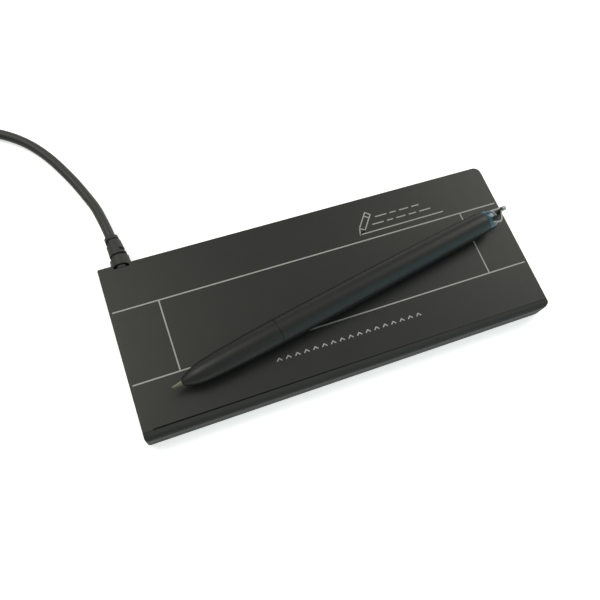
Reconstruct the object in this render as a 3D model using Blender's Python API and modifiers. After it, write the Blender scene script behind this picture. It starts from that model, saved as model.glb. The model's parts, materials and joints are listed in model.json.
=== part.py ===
"""Signature pad with its pen, built from separate pieces.

The pad lies on Z = 0. X runs along its length, +Y points to its back edge, and the origin
is below the middle of the pad and pen taken together.
"""

import math

import bmesh
import bpy
from mathutils import Vector

MM = 0.001
DEGREE = math.pi / 180.0
QUARTER_TURN = math.pi / 2

# Clearance kept between neighbouring pieces, and the overrun of every cutter
GAP = 0.3 * MM
OVERRUN = 1.0 * MM
MERGE = 0.01 * MM

# Case: outside sizes, walls and the corner radii seen from above
PAD_LENGTH = 165.0 * MM
PAD_DEPTH = 67.6 * MM
WALL = 1.6 * MM
FLOOR_THICKNESS = 1.8 * MM
ROOF_THICKNESS = 1.4 * MM
BASE_RISE = 3.6 * MM
BASE_EDGE = 0.5 * MM
LIP_DEPTH = 3.05 * MM
LIP_RADIUS = 1.9 * MM
LIP_GROOVE = 0.5 * MM
FRONT_LEFT_RADIUS = 1.2 * MM
FRONT_RIGHT_RADIUS = 2.4 * MM
BACK_RIGHT_RADIUS = 3.0 * MM
BACK_LEFT_RADIUS = 0.8 * MM

# Rubber feet and the blank label plate in the underside
FOOT_PROUD = 0.8 * MM
FOOT_SINK = 0.8 * MM
FOOT_RADIUS = 4.5 * MM
FOOT_INSET_X = 14.0 * MM
FOOT_INSET_Y = 8.3 * MM
LABEL_LENGTH = 70.0 * MM
LABEL_DEPTH = 32.0 * MM
LABEL_THICKNESS = 0.3 * MM

# Touch stack below the graphic overlay
OVERLAY_THICKNESS = 0.5 * MM
WINDOW_SIDE_MARGIN = 15.5 * MM
WINDOW_FRONT_MARGIN = 17.8 * MM
WINDOW_BACK_MARGIN = 15.8 * MM
WINDOW_RADIUS = 1.5 * MM
FILM_THICKNESS = 0.3 * MM
SPACER_THICKNESS = 0.3 * MM
SPACER_BAND = 4.0 * MM
GLASS_THICKNESS = 1.1 * MM
FOAM_THICKNESS = 1.0 * MM
PLATE_THICKNESS = 1.0 * MM
PLATE_OVERHANG = 1.4 * MM
PLATE_RIB_RISE = 1.4 * MM
PLATE_RIB_WIDTH = 3.0 * MM
PLATE_RIB_SPACING = 45.0 * MM
PLATE_RIB_INSET = 3.0 * MM

# Screws and posts that close the case
CASE_POST_SPACE = 0.5 * MM
CASE_SCREW_FRONT_INSET = 7.8 * MM
CASE_SCREW_BACK_INSET = 18.8 * MM
CASE_SHANK_RADIUS = 0.9 * MM
CASE_HEAD_RADIUS = 1.9 * MM
CASE_HEAD_HEIGHT = 0.8 * MM
CASE_HEAD_SINK = 0.1 * MM
CASE_POST_RADIUS = 2.4 * MM
CASE_POST_CAP = 0.8 * MM
DRIVE_LENGTH = 2.0 * MM
DRIVE_WIDTH = 0.5 * MM
DRIVE_DEPTH = 0.5 * MM

# Controller board and what it carries
BOARD_LENGTH = 104.0 * MM
BOARD_FROM_EXIT = 21.5 * MM
BOARD_THICKNESS = 1.0 * MM
BOARD_FRONT_CLEARANCE = 1.1 * MM
BOARD_BACK_CLEARANCE = 0.6 * MM
BOARD_BOSS_RISE = 1.3 * MM
BOARD_BOSS_RADIUS = 2.2 * MM
BOARD_SHANK_RADIUS = 0.8 * MM
BOARD_SHANK_DEPTH = 2.0 * MM
BOARD_HEAD_RADIUS = 1.6 * MM
BOARD_HEAD_HEIGHT = 0.9 * MM
BOARD_SCREW_LEFT_INSET = 15.0 * MM
BOARD_SCREW_RIGHT_INSET = 5.0 * MM
CHIP_SIDE = 7.0 * MM
CHIP_HEIGHT = 1.2 * MM
CHIP_INSET = 40.0 * MM
CRYSTAL_LENGTH = 4.8 * MM
CRYSTAL_DEPTH = 2.4 * MM
CRYSTAL_HEIGHT = 1.3 * MM
CRYSTAL_SPACE = 4.0 * MM
CAPACITOR_LENGTH = 1.6 * MM
CAPACITOR_DEPTH = 0.9 * MM
CAPACITOR_HEIGHT = 0.8 * MM
CAPACITOR_PITCH = 2.6 * MM
CAPACITORS_PER_ROW = 2
CAPACITOR_ROW_SHARE = 0.3
FLEX_CONNECTOR_LENGTH = 15.0 * MM
FLEX_CONNECTOR_DEPTH = 4.2 * MM
FLEX_CONNECTOR_HEIGHT = 1.7 * MM
FLEX_CONNECTOR_INSET = 1.6 * MM
FLEX_FROM_CHIP = 30.0 * MM
FLEX_WIDTH = 12.0 * MM
FLEX_THICKNESS = 0.3 * MM
FLEX_DROP = 0.3 * MM
HEADER_LENGTH = 4.4 * MM
HEADER_END = 2.25 * MM
HEADER_HEIGHT = 1.9 * MM
HEADER_LEFT_INSET = 5.6 * MM
HEADER_PLUG_LENGTH = 5.0 * MM
HEADER_PLUG_END = 1.55 * MM

# Cable: exit in the back wall, moulded strain relief and inner cores
EXIT_INSET = 9.0 * MM
EXIT_HEIGHT = 5.4 * MM
NOTCH_DEPTH = 1.5 * MM
CABLE_RADIUS = 2.0 * MM
NECK_RADIUS = 2.6 * MM
FLANGE_WIDTH = 8.0 * MM
FLANGE_HEIGHT = 4.6 * MM
FLANGE_THICKNESS = 1.8 * MM
FLANGE_LOWER = 0.1 * MM
FLANGE_RIB = 1.0 * MM
FLANGE_RIB_RISE = 3.0 * MM
RELIEF_LENGTH = 14.2 * MM
RELIEF_COLLAR_LENGTH = 4.4 * MM
RELIEF_COLLAR_RADIUS = 3.95 * MM
RELIEF_COLLAR_END_RADIUS = 3.6 * MM
RELIEF_WAIST_RADIUS = 2.6 * MM
RELIEF_WAIST_LENGTH = 0.8 * MM
RELIEF_SLEEVE_RADIUS = 3.35 * MM
RELIEF_SLEEVE_END_RADIUS = 2.5 * MM
RELIEF_RING_RADIUS = 2.25 * MM
RELIEF_RING_LENGTH = 0.6 * MM
RELIEF_TIP_RADIUS = 2.65 * MM
RELIEF_TIP_LENGTH = 1.5 * MM
RELIEF_STEP = 0.05 * MM
RELIEF_SWAY = 0.85 * MM
RELIEF_FALL = 0.4 * MM
CORE_COUNT = 4
CORE_RADIUS = 0.5 * MM
CORE_PITCH = 1.5 * MM
CORE_BEND = 1.6 * MM

# Route of the free cable in world coordinates, from the strain relief to the coil
RUN_ROUTE = [
    (-0.07551, 0.04830, 0.00498),
    (-0.07610, 0.05300, 0.00470),
    (-0.07685, 0.05800, 0.00420),
    (-0.07800, 0.06400, 0.00335),
    (-0.08000, 0.07030, 0.00250),
    (-0.08310, 0.07850, 0.00210),
    (-0.08610, 0.08500, 0.00205),
    (-0.08930, 0.09120, 0.00205),
    (-0.09310, 0.09710, 0.00205),
    (-0.09770, 0.10260, 0.00205),
    (-0.10330, 0.10740, 0.00205),
    (-0.10970, 0.11130, 0.00205),
    (-0.11680, 0.11440, 0.00210),
    (-0.12430, 0.11660, 0.00240),
    (-0.13180, 0.11770, 0.00290),
    (-0.13870, 0.11790, 0.00320),
    (-0.14270, 0.11790, 0.00320),
]

# Route of the last free stretch, from the coil's top down its side to the plug
TAIL_ROUTE = [
    (-0.15130, 0.11790, 0.01655),
    (-0.15530, 0.11790, 0.01655),
    (-0.16200, 0.11700, 0.01655),
    (-0.16830, 0.11420, 0.01645),
    (-0.17370, 0.10980, 0.01560),
    (-0.17750, 0.10410, 0.01340),
    (-0.17980, 0.09740, 0.01060),
    (-0.18060, 0.09000, 0.00780),
    (-0.18070, 0.08300, 0.00570),
    (-0.18070, 0.07700, 0.00460),
    (-0.18070, 0.07200, 0.00430),
]

# Coil of the unseen cable: centre, turns and layers, and the strap that ties it
COIL_X = -147.0 * MM
COIL_Y = 89.0 * MM
COIL_MIDDLE_RADIUS = 22.15 * MM
COIL_PITCH = 4.5 * MM
COIL_LAYER = 4.45 * MM
COIL_LAYERS = 4
COIL_TURNS_PER_LAYER = 3
COIL_POINTS_PER_TURN = 24
COIL_START_ANGLE = 90.0 * DEGREE
COIL_CLIMB_TURNS = 0.5
LEAST_CORD_GAP = 0.4 * MM
TIE_WIDTH = 6.0 * MM
TIE_THICKNESS = 0.8 * MM
TIE_CLEARANCE = 0.4 * MM
TIE_RADIUS = 3.0 * MM
TIE_ANGLE = 270.0 * DEGREE

# Plug on the cable's far end
PLUG_X = -180.7 * MM
PLUG_Y = 71.7 * MM
PLUG_RELIEF_LENGTH = 9.0 * MM
PLUG_RELIEF_RADIUS = 3.4 * MM
PLUG_RELIEF_TIP_RADIUS = 2.6 * MM
PLUG_BODY_LENGTH = 24.0 * MM
PLUG_BODY_WIDTH = 15.6 * MM
PLUG_BODY_HEIGHT = 8.0 * MM
PLUG_BODY_EDGE = 1.6 * MM
SHELL_LENGTH = 12.0 * MM
SHELL_WIDTH = 12.0 * MM
SHELL_HEIGHT = 4.5 * MM
SHELL_WALL = 0.4 * MM
SHELL_RADIUS = 0.7 * MM
SHELL_WINDOW = 2.4 * MM
SHELL_WINDOW_SPACING = 5.2 * MM
SHELL_WINDOW_START = 4.4 * MM
TONGUE_HEIGHT = 1.8 * MM
TONGUE_SHORTER = 0.6 * MM
CONTACT_COUNT = 4
CONTACT_WIDTH = 1.0 * MM
CONTACT_PITCH = 2.2 * MM
CONTACT_HEIGHT = 0.3 * MM
CONTACT_LENGTH = 7.0 * MM

# Pen: where it lies on the pad, measured from the pad's left and front edges to its point
PEN_POINT_INSET_X = 13.75 * MM
PEN_POINT_INSET_Y = 14.0 * MM
PEN_YAW = 10.72 * DEGREE
PEN_SIDES = 28

# Pen: lengths along its axis from the point, radii and bores
POINT_END_RADIUS = 0.55 * MM
POINT_RADIUS = 1.1 * MM
POINT_STEM_RADIUS = 0.8 * MM
POINT_STEM_END = 9.0 * MM
NOSE_START = 4.3 * MM
NOSE_WALL = 0.25 * MM
SEAM_AT = 42.4 * MM
SEAM_RADIUS = 5.0 * MM
BARREL_RADIUS = 5.1 * MM
BARREL_END = 140.0 * MM
BARREL_END_RADIUS = 4.4 * MM
BARREL_BORE_RADIUS = 3.6 * MM
FRONT_SPIGOT_LENGTH = 9.0 * MM
ROD_RADIUS = 0.8 * MM
CAP_SPIGOT_LENGTH = 10.0 * MM
CAP_SOCKET_DEPTH = 6.0 * MM
CAP_LENGTH = 6.2 * MM
CAP_SHOULDER_LENGTH = 1.5 * MM

# Eye in the pen's tail cap, and the wire ring that swings in it
EYE_FROM_BARREL = 3.4 * MM
EYE_SLOT_LOW = -3.0 * MM
EYE_SLOT_HIGH = -0.7 * MM
EYE_FACE = 2.3 * MM
WIRE_RADIUS = 0.45 * MM
RING_DROOP = 20.0 * DEGREE
RING_LENGTH = 10.7 * MM
RING_ARM_CLEARANCE = 0.4 * MM
RING_POINT_COUNT = 44
FERRULE_RADIUS = 1.0 * MM
FERRULE_LENGTH = 2.8 * MM
FERRULE_EDGE = 0.3 * MM

# Shares of the nose's length and of its growth in radius
NOSE_SHARES = [
    (0.00, 0.00),
    (0.045, 0.24),
    (0.11, 0.49),
    (0.18, 0.65),
    (0.30, 0.77),
    (0.50, 0.88),
    (0.76, 0.97),
    (1.00, 1.00),
]
# Shares of the barrel's length, and of its radius above the end's
BARREL_SHARES = [
    (0.00, 0.86),
    (0.18, 1.00),
    (0.58, 1.00),
    (0.80, 0.78),
    (0.93, 0.50),
    (0.98, 0.25),
    (1.00, 0.00),
]
# Shares of the tail cap's length past its shoulder, and of its radius there
DOME_SHARES = [
    (0.00, 1.00),
    (0.40, 0.92),
    (0.70, 0.76),
    (0.90, 0.50),
    (0.98, 0.25),
]
# Shares of the ring's length and of its outer arm's distance, round the loop
RING_SHARES = [
    (1.00, 0.94),
    (0.82, 0.95),
    (0.55, 0.97),
    (0.28, 1.00),
    (0.10, 1.00),
    (0.02, 0.88),
    (0.00, 0.66),
    (0.00, 0.20),
    (0.00, -0.22),
    (0.02, -0.43),
    (0.07, -0.56),
    (0.18, -0.61),
    (0.32, -0.70),
    (0.45, -0.78),
    (0.56, -0.70),
    (0.66, -0.49),
    (0.78, -0.12),
    (0.88, 0.28),
    (0.945, 0.50),
    (1.00, 0.58),
]

# Heights of the layers from the floor up, worked out from the sizes above
UNDERSIDE_Z = FOOT_PROUD
FLOOR_Z = UNDERSIDE_Z + FLOOR_THICKNESS
PARTING_Z = UNDERSIDE_Z + BASE_RISE
COVER_Z = PARTING_Z + GAP
PLATE_Z = FLOOR_Z + PLATE_RIB_RISE + GAP
FOAM_Z = PLATE_Z + PLATE_THICKNESS + GAP
GLASS_Z = FOAM_Z + FOAM_THICKNESS + GAP
SPACER_Z = GLASS_Z + GLASS_THICKNESS + GAP
FILM_Z = SPACER_Z + SPACER_THICKNESS + GAP
ROOF_TOP_Z = FILM_Z + FILM_THICKNESS
ROOF_LOW_Z = ROOF_TOP_Z - ROOF_THICKNESS
OVERLAY_Z = ROOF_TOP_Z + GAP
PAD_HEIGHT = OVERLAY_Z + OVERLAY_THICKNESS
BOSS_Z = FLOOR_Z + BOARD_BOSS_RISE
BOARD_Z = BOSS_Z + GAP
CHIPS_Z = BOARD_Z + BOARD_THICKNESS + GAP

# Places in the plan, worked out from the sizes above
HALF_LENGTH = PAD_LENGTH / 2
HALF_DEPTH = PAD_DEPTH / 2
LIP_Y = -HALF_DEPTH + LIP_DEPTH
EXIT_X = -HALF_LENGTH + EXIT_INSET
NOTCH_HALF_WIDTH = NECK_RADIUS + GAP
CASE_SCREW_X = HALF_LENGTH - WALL - CASE_POST_SPACE - CASE_POST_RADIUS
WINDOW_RIGHT_X = HALF_LENGTH - WINDOW_SIDE_MARGIN
WINDOW_FRONT_Y = -HALF_DEPTH + WINDOW_FRONT_MARGIN
WINDOW_BACK_Y = HALF_DEPTH - WINDOW_BACK_MARGIN
PLATE_BACK_Y = WINDOW_BACK_Y - GAP + PLATE_OVERHANG
BOARD_BACK_Y = HALF_DEPTH - WALL - BOARD_BACK_CLEARANCE
BOARD_FRONT_Y = PLATE_BACK_Y + BOARD_FRONT_CLEARANCE
BOARD_Y = (BOARD_BACK_Y + BOARD_FRONT_Y) / 2
BOARD_LEFT_X = EXIT_X + BOARD_FROM_EXIT
BOARD_RIGHT_X = BOARD_LEFT_X + BOARD_LENGTH
CHIP_X = BOARD_LEFT_X + CHIP_INSET
FLEX_X = CHIP_X + FLEX_FROM_CHIP
FLEX_CONNECTOR_Y = BOARD_FRONT_Y + FLEX_CONNECTOR_INSET
CORE_SPAN = (CORE_COUNT - 1) * CORE_PITCH
HEADER_X = BOARD_LEFT_X + HEADER_LEFT_INSET + HEADER_LENGTH / 2
HEADER_PLUG_X = HEADER_X - HEADER_LENGTH / 2 - GAP - HEADER_PLUG_LENGTH / 2
FLANGE_BACK_Y = HALF_DEPTH - WALL - GAP
FLANGE_Y = FLANGE_BACK_Y - FLANGE_THICKNESS

# Pen heights and places, worked out from the sizes above
PEN_X = -HALF_LENGTH + PEN_POINT_INSET_X
PEN_Y = -HALF_DEPTH + PEN_POINT_INSET_Y
PEN_Z = PAD_HEIGHT + GAP + max(BARREL_RADIUS, SEAM_RADIUS, BARREL_END_RADIUS)
SPIGOT_RADIUS = BARREL_BORE_RADIUS - GAP
ROD_BORE_RADIUS = max(POINT_STEM_RADIUS, ROD_RADIUS) + GAP
EYE_AT = BARREL_END + EYE_FROM_BARREL
EYE_RADIUS = WIRE_RADIUS + GAP
RING_OUTER_ARM = EYE_FACE + RING_ARM_CLEARANCE + WIRE_RADIUS
FERRULE_SIDE = RING_OUTER_ARM * (RING_SHARES[0][1] + RING_SHARES[-1][1]) / 2
RING_REACH = EYE_AT + math.cos(RING_DROOP) * (RING_LENGTH + GAP + FERRULE_LENGTH)
RING_END_X = PEN_X + math.cos(PEN_YAW) * RING_REACH - math.sin(PEN_YAW) * (FERRULE_SIDE - FERRULE_RADIUS)
PAD_X = -max(RING_END_X - HALF_LENGTH, 0.0) / 2

# Coil places, worked out from the sizes above
COIL_OUTER_RADIUS = COIL_MIDDLE_RADIUS + COIL_PITCH * COIL_TURNS_PER_LAYER / 2
COIL_Z = TIE_THICKNESS + TIE_CLEARANCE + CABLE_RADIUS
PLUG_Z = PLUG_BODY_HEIGHT / 2

# Piece colours as linear RGB, with roughness and metallic
FINISHES = {
    "case_plastic": ((0.043, 0.043, 0.040), 0.55, 0.0),
    "overlay_film": ((0.050, 0.050, 0.046), 0.45, 0.0),
    "clear_film": ((0.55, 0.58, 0.60), 0.15, 0.0),
    "spacer_tape": ((0.70, 0.66, 0.45), 0.6, 0.0),
    "sensor_glass": ((0.45, 0.55, 0.52), 0.05, 0.0),
    "foam": ((0.10, 0.10, 0.11), 0.9, 0.0),
    "steel_plate": ((0.50, 0.50, 0.52), 0.35, 1.0),
    "screw_steel": ((0.35, 0.35, 0.37), 0.35, 1.0),
    "rubber": ((0.02, 0.02, 0.02), 0.85, 0.0),
    "label": ((0.60, 0.60, 0.58), 0.5, 0.0),
    "circuit_board": ((0.02, 0.16, 0.07), 0.45, 0.0),
    "chip_resin": ((0.02, 0.02, 0.022), 0.5, 0.0),
    "ceramic": ((0.45, 0.33, 0.20), 0.5, 0.0),
    "connector": ((0.75, 0.73, 0.66), 0.45, 0.0),
    "flex_film": ((0.55, 0.25, 0.04), 0.35, 0.0),
    "cable_jacket": ((0.030, 0.030, 0.030), 0.5, 0.0),
    "core_red": ((0.50, 0.03, 0.02), 0.4, 0.0),
    "core_white": ((0.75, 0.75, 0.72), 0.4, 0.0),
    "core_green": ((0.03, 0.30, 0.06), 0.4, 0.0),
    "core_black": ((0.02, 0.02, 0.02), 0.4, 0.0),
    "hook_strap": ((0.025, 0.025, 0.028), 0.9, 0.0),
    "plug_metal": ((0.60, 0.60, 0.61), 0.25, 1.0),
    "contact_gold": ((0.80, 0.58, 0.20), 0.25, 1.0),
    "pen_plastic": ((0.022, 0.024, 0.026), 0.35, 0.0),
    "pen_point": ((0.42, 0.42, 0.36), 0.35, 1.0),
    "rod_plastic": ((0.60, 0.60, 0.58), 0.5, 0.0),
    "ring_wire": ((0.50, 0.50, 0.47), 0.25, 1.0),
}
CORE_FINISHES = ["core_red", "core_white", "core_green", "core_black"]

PARTS = "signature_pad"
CUTTERS = "cutters"


def clear_scene():
    for obj in list(bpy.data.objects):
        bpy.data.objects.remove(obj, do_unlink=True)
    for name in (PARTS, CUTTERS):
        group = bpy.data.collections.get(name) or bpy.data.collections.new(name)
        if name not in bpy.context.scene.collection.children:
            bpy.context.scene.collection.children.link(group)


def finish(name):
    """The material of that finish, made once."""
    found = bpy.data.materials.get(name)
    if found:
        return found
    color, roughness, metallic = FINISHES[name]
    made = bpy.data.materials.new(name)
    made.use_nodes = True
    shader = made.node_tree.nodes["Principled BSDF"]
    shader.inputs["Base Color"].default_value = (*color, 1.0)
    shader.inputs["Roughness"].default_value = roughness
    shader.inputs["Metallic"].default_value = metallic
    return made


def empty(name, location, parent=None, rotation=(0.0, 0.0, 0.0)):
    """A named point that pieces are placed from."""
    made = bpy.data.objects.new(name, None)
    made.location = location
    made.rotation_euler = rotation
    made.parent = parent
    bpy.data.collections[PARTS].objects.link(made)
    return made


def place(name, data, look, parent, collection=PARTS, location=(0.0, 0.0, 0.0), rotation=(0.0, 0.0, 0.0)):
    """Puts mesh or curve data into the scene as a piece, or as a cutter when it has no look."""
    made = bpy.data.objects.new(name, data)
    made.parent = parent
    made.location = location
    made.rotation_euler = rotation
    bpy.data.collections[collection].objects.link(made)
    if look:
        data.materials.append(finish(look))
    if collection == CUTTERS:
        made.hide_render = True
        made.display_type = "WIRE"
    return made


def smooth(obj, angle=30.0 * DEGREE):
    obj.data.shade_smooth()
    obj.data.set_sharp_from_angle(angle=angle)
    return obj


def mesh_from(obj):
    """The evaluated mesh of an object that is then removed, with its loose caps welded."""
    bpy.context.view_layer.update()
    graph = bpy.context.evaluated_depsgraph_get()
    mesh = bpy.data.meshes.new_from_object(obj.evaluated_get(graph))
    bpy.data.objects.remove(obj, do_unlink=True)
    shape = bmesh.new()
    shape.from_mesh(mesh)
    bmesh.ops.remove_doubles(shape, verts=shape.verts, dist=MERGE)
    shape.to_mesh(mesh)
    shape.free()
    return mesh


def box(name, low, high, look, parent, edge=0.0, collection=PARTS):
    """A block between two corners, with its edges bevelled by edge."""
    shape = bmesh.new()
    bmesh.ops.create_cube(shape, size=1.0)
    size = [b - a for a, b in zip(low, high)]
    bmesh.ops.scale(shape, vec=size, verts=shape.verts)
    if edge:
        bmesh.ops.bevel(shape, geom=shape.edges[:], offset=edge, segments=2, profile=0.5, affect="EDGES")
    mesh = bpy.data.meshes.new(name)
    shape.to_mesh(mesh)
    shape.free()
    middle = [(a + b) / 2 for a, b in zip(low, high)]
    return place(name, mesh, look, parent, collection, middle)


def cylinder(
    name, radius, bottom, top, at, parent,
    look=None, sides=24, collection=CUTTERS, rotation=(0.0, 0.0, 0.0),
):
    """A capped cylinder along its own Z from bottom to top, over the point at."""
    shape = bmesh.new()
    bmesh.ops.create_cone(
        shape, cap_ends=True, segments=sides, radius1=radius, radius2=radius, depth=top - bottom
    )
    bmesh.ops.translate(shape, vec=(0.0, 0.0, (top + bottom) / 2), verts=shape.verts)
    mesh = bpy.data.meshes.new(name)
    shape.to_mesh(mesh)
    shape.free()
    return place(name, mesh, look, parent, collection, at, rotation)


def rounded_outline(low, high, radii, steps=5):
    """Points round a rectangle, anticlockwise, with a radius for each corner.

    The radii are for the corners front left, front right, back right and back left.
    """
    corners = [(low[0], low[1]), (high[0], low[1]), (high[0], high[1]), (low[0], high[1])]
    middle = ((low[0] + high[0]) / 2, (low[1] + high[1]) / 2)
    points = []
    for index, ((x, y), radius) in enumerate(zip(corners, radii)):
        centre_x = x + math.copysign(radius, middle[0] - x)
        centre_y = y + math.copysign(radius, middle[1] - y)
        for step in range(steps + 1):
            angle = (index + 2 + step / steps) * QUARTER_TURN
            points.append((centre_x + radius * math.cos(angle), centre_y + radius * math.sin(angle)))
    return points


def slab_mesh(name, outlines, bottom, top):
    """The mesh of a flat plate. The first outline is its edge and the others are holes."""
    curve = bpy.data.curves.new(name, "CURVE")
    curve.dimensions = "2D"
    curve.fill_mode = "BOTH"
    curve.extrude = (top - bottom) / 2
    for outline in outlines:
        spline = curve.splines.new("POLY")
        spline.points.add(len(outline) - 1)
        for point, (x, y) in zip(spline.points, outline):
            point.co = (x, y, 0.0, 1.0)
        spline.use_cyclic_u = True
    flat = bpy.data.objects.new(name, curve)
    bpy.context.scene.collection.objects.link(flat)
    mesh = mesh_from(flat)
    shape = bmesh.new()
    shape.from_mesh(mesh)
    bmesh.ops.translate(shape, vec=(0.0, 0.0, (top + bottom) / 2), verts=shape.verts)
    shape.to_mesh(mesh)
    shape.free()
    return mesh


def slab(
    name, outlines, bottom, top, look, parent,
    collection=PARTS, location=(0.0, 0.0, 0.0), rotation=(0.0, 0.0, 0.0),
):
    mesh = slab_mesh(name, outlines, bottom, top)
    return place(name, mesh, look, parent, collection, location, rotation)


def turned(
    name, profile, look, parent,
    closed=False, sides=PEN_SIDES, collection=PARTS,
    location=(0.0, 0.0, 0.0), rotation=(0.0, 0.0, 0.0),
):
    """A turned piece about its own Z. The profile of (radius, height) runs down its outer side."""
    mesh = bpy.data.meshes.new(name)
    edges = [(i, i + 1) for i in range(len(profile) - 1)]
    if closed:
        edges.append((len(profile) - 1, 0))
    mesh.from_pydata([(radius, 0.0, height) for radius, height in profile], edges, [])
    made = place(name, mesh, look, parent, collection, location, rotation)
    screw = made.modifiers.new("turn", "SCREW")
    screw.axis = "Z"
    screw.steps = sides
    screw.render_steps = sides
    screw.use_merge_vertices = True
    screw.merge_threshold = MERGE
    screw.use_smooth_shade = True
    return made


def smooth_route(points, count):
    """Evenly spaced points on a smooth curve through the given ones."""
    ends = [2 * Vector(points[0]) - Vector(points[1]), 2 * Vector(points[-1]) - Vector(points[-2])]
    knots = [ends[0], *map(Vector, points), ends[1]]
    per_span = 16
    fine = []
    for i in range(1, len(knots) - 2):
        before, start, end, after = knots[i - 1 : i + 3]
        for step in range(per_span):
            t = step / per_span
            fine.append(
                0.5
                * (
                    2 * start
                    + (end - before) * t
                    + (2 * before - 5 * start + 4 * end - after) * t**2
                    + (3 * start - before - 3 * end + after) * t**3
                )
            )
    fine.append(Vector(points[-1]))
    reach = [0.0]
    for a, b in zip(fine, fine[1:]):
        reach.append(reach[-1] + (b - a).length)
    route = []
    at = 0
    for step in range(count):
        wanted = reach[-1] * step / (count - 1)
        while at < len(fine) - 2 and reach[at + 1] < wanted:
            at += 1
        share = (wanted - reach[at]) / (reach[at + 1] - reach[at])
        route.append(fine[at].lerp(fine[at + 1], share))
    return route


def route_length(points):
    return sum((Vector(b) - Vector(a)).length for a, b in zip(points, points[1:]))


def tube_curve(name, points, radius, resolution, radii=None):
    """Curve data for a capped tube through the points, with its own radius at each when given."""
    curve = bpy.data.curves.new(name, "CURVE")
    curve.dimensions = "3D"
    curve.bevel_depth = radius
    curve.bevel_resolution = resolution
    curve.use_fill_caps = True
    spline = curve.splines.new("POLY")
    spline.points.add(len(points) - 1)
    for i, (point, at) in enumerate(zip(spline.points, points)):
        point.co = (*at, 1.0)
        point.radius = radii[i] / radius if radii else 1.0
    return curve


def tube(name, points, radius, look, parent, resolution=2):
    return place(name, tube_curve(name, points, radius, resolution), look, parent)


def combine(piece, other, operation):
    """Cuts another object out of a piece, or joins it on, and keeps that object as a guide."""
    step = piece.modifiers.new(f"{operation.lower()}_{other.name}", "BOOLEAN")
    step.operation = operation
    step.solver = "EXACT"
    step.object = other
    return piece


def cut(piece, *others):
    for other in others:
        combine(piece, other, "DIFFERENCE")


def join(piece, *others):
    for other in others:
        combine(piece, other, "UNION")


def repeat(name, source, places, look, parent):
    """A numbered piece at each place, all with the shape of the source object, which is removed."""
    mesh = mesh_from(source)
    mesh.materials.clear()
    for index, (x, y) in enumerate(places):
        smooth(place(f"{name}_{index + 1}", mesh.copy(), look, parent, location=(x, y, 0.0)))


def case_outline(inset=0.0):
    """The pad's outline from above, drawn in by inset."""
    radii = [
        max(radius - inset, BASE_EDGE)
        for radius in (FRONT_LEFT_RADIUS, FRONT_RIGHT_RADIUS, BACK_RIGHT_RADIUS, BACK_LEFT_RADIUS)
    ]
    low = (-HALF_LENGTH + inset, -HALF_DEPTH + inset)
    high = (HALF_LENGTH - inset, HALF_DEPTH - inset)
    return rounded_outline(low, high, radii)


def window_outline(inset):
    """The outline of the sensor window in the cover, drawn in by inset."""
    low = (-WINDOW_RIGHT_X + inset, WINDOW_FRONT_Y + inset)
    high = (WINDOW_RIGHT_X - inset, WINDOW_BACK_Y - inset)
    return rounded_outline(low, high, [WINDOW_RADIUS] * 4, steps=3)


def case_screw_places():
    front = -HALF_DEPTH + CASE_SCREW_FRONT_INSET
    back = HALF_DEPTH - CASE_SCREW_BACK_INSET
    return [(x, y) for y in (front, back) for x in (-CASE_SCREW_X, CASE_SCREW_X)]


def board_screw_places():
    left = BOARD_LEFT_X + BOARD_SCREW_LEFT_INSET
    right = BOARD_RIGHT_X - BOARD_SCREW_RIGHT_INSET
    return [(left, BOARD_Y), (right, BOARD_Y)]


def foot_places():
    x = HALF_LENGTH - FOOT_INSET_X
    y = HALF_DEPTH - FOOT_INSET_Y
    return {
        "foot_front_left": (-x, -y),
        "foot_front_right": (x, -y),
        "foot_back_left": (-x, y),
        "foot_back_right": (x, y),
    }


def exit_hole(name, parent):
    """A round cutter through the back wall where the strain relief's neck sits."""
    return cylinder(
        name,
        NOTCH_HALF_WIDTH,
        -OVERRUN,
        WALL + FLANGE_THICKNESS,
        (EXIT_X, HALF_DEPTH, EXIT_HEIGHT),
        parent,
        rotation=(90.0 * DEGREE, 0.0, 0.0),
    )


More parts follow.
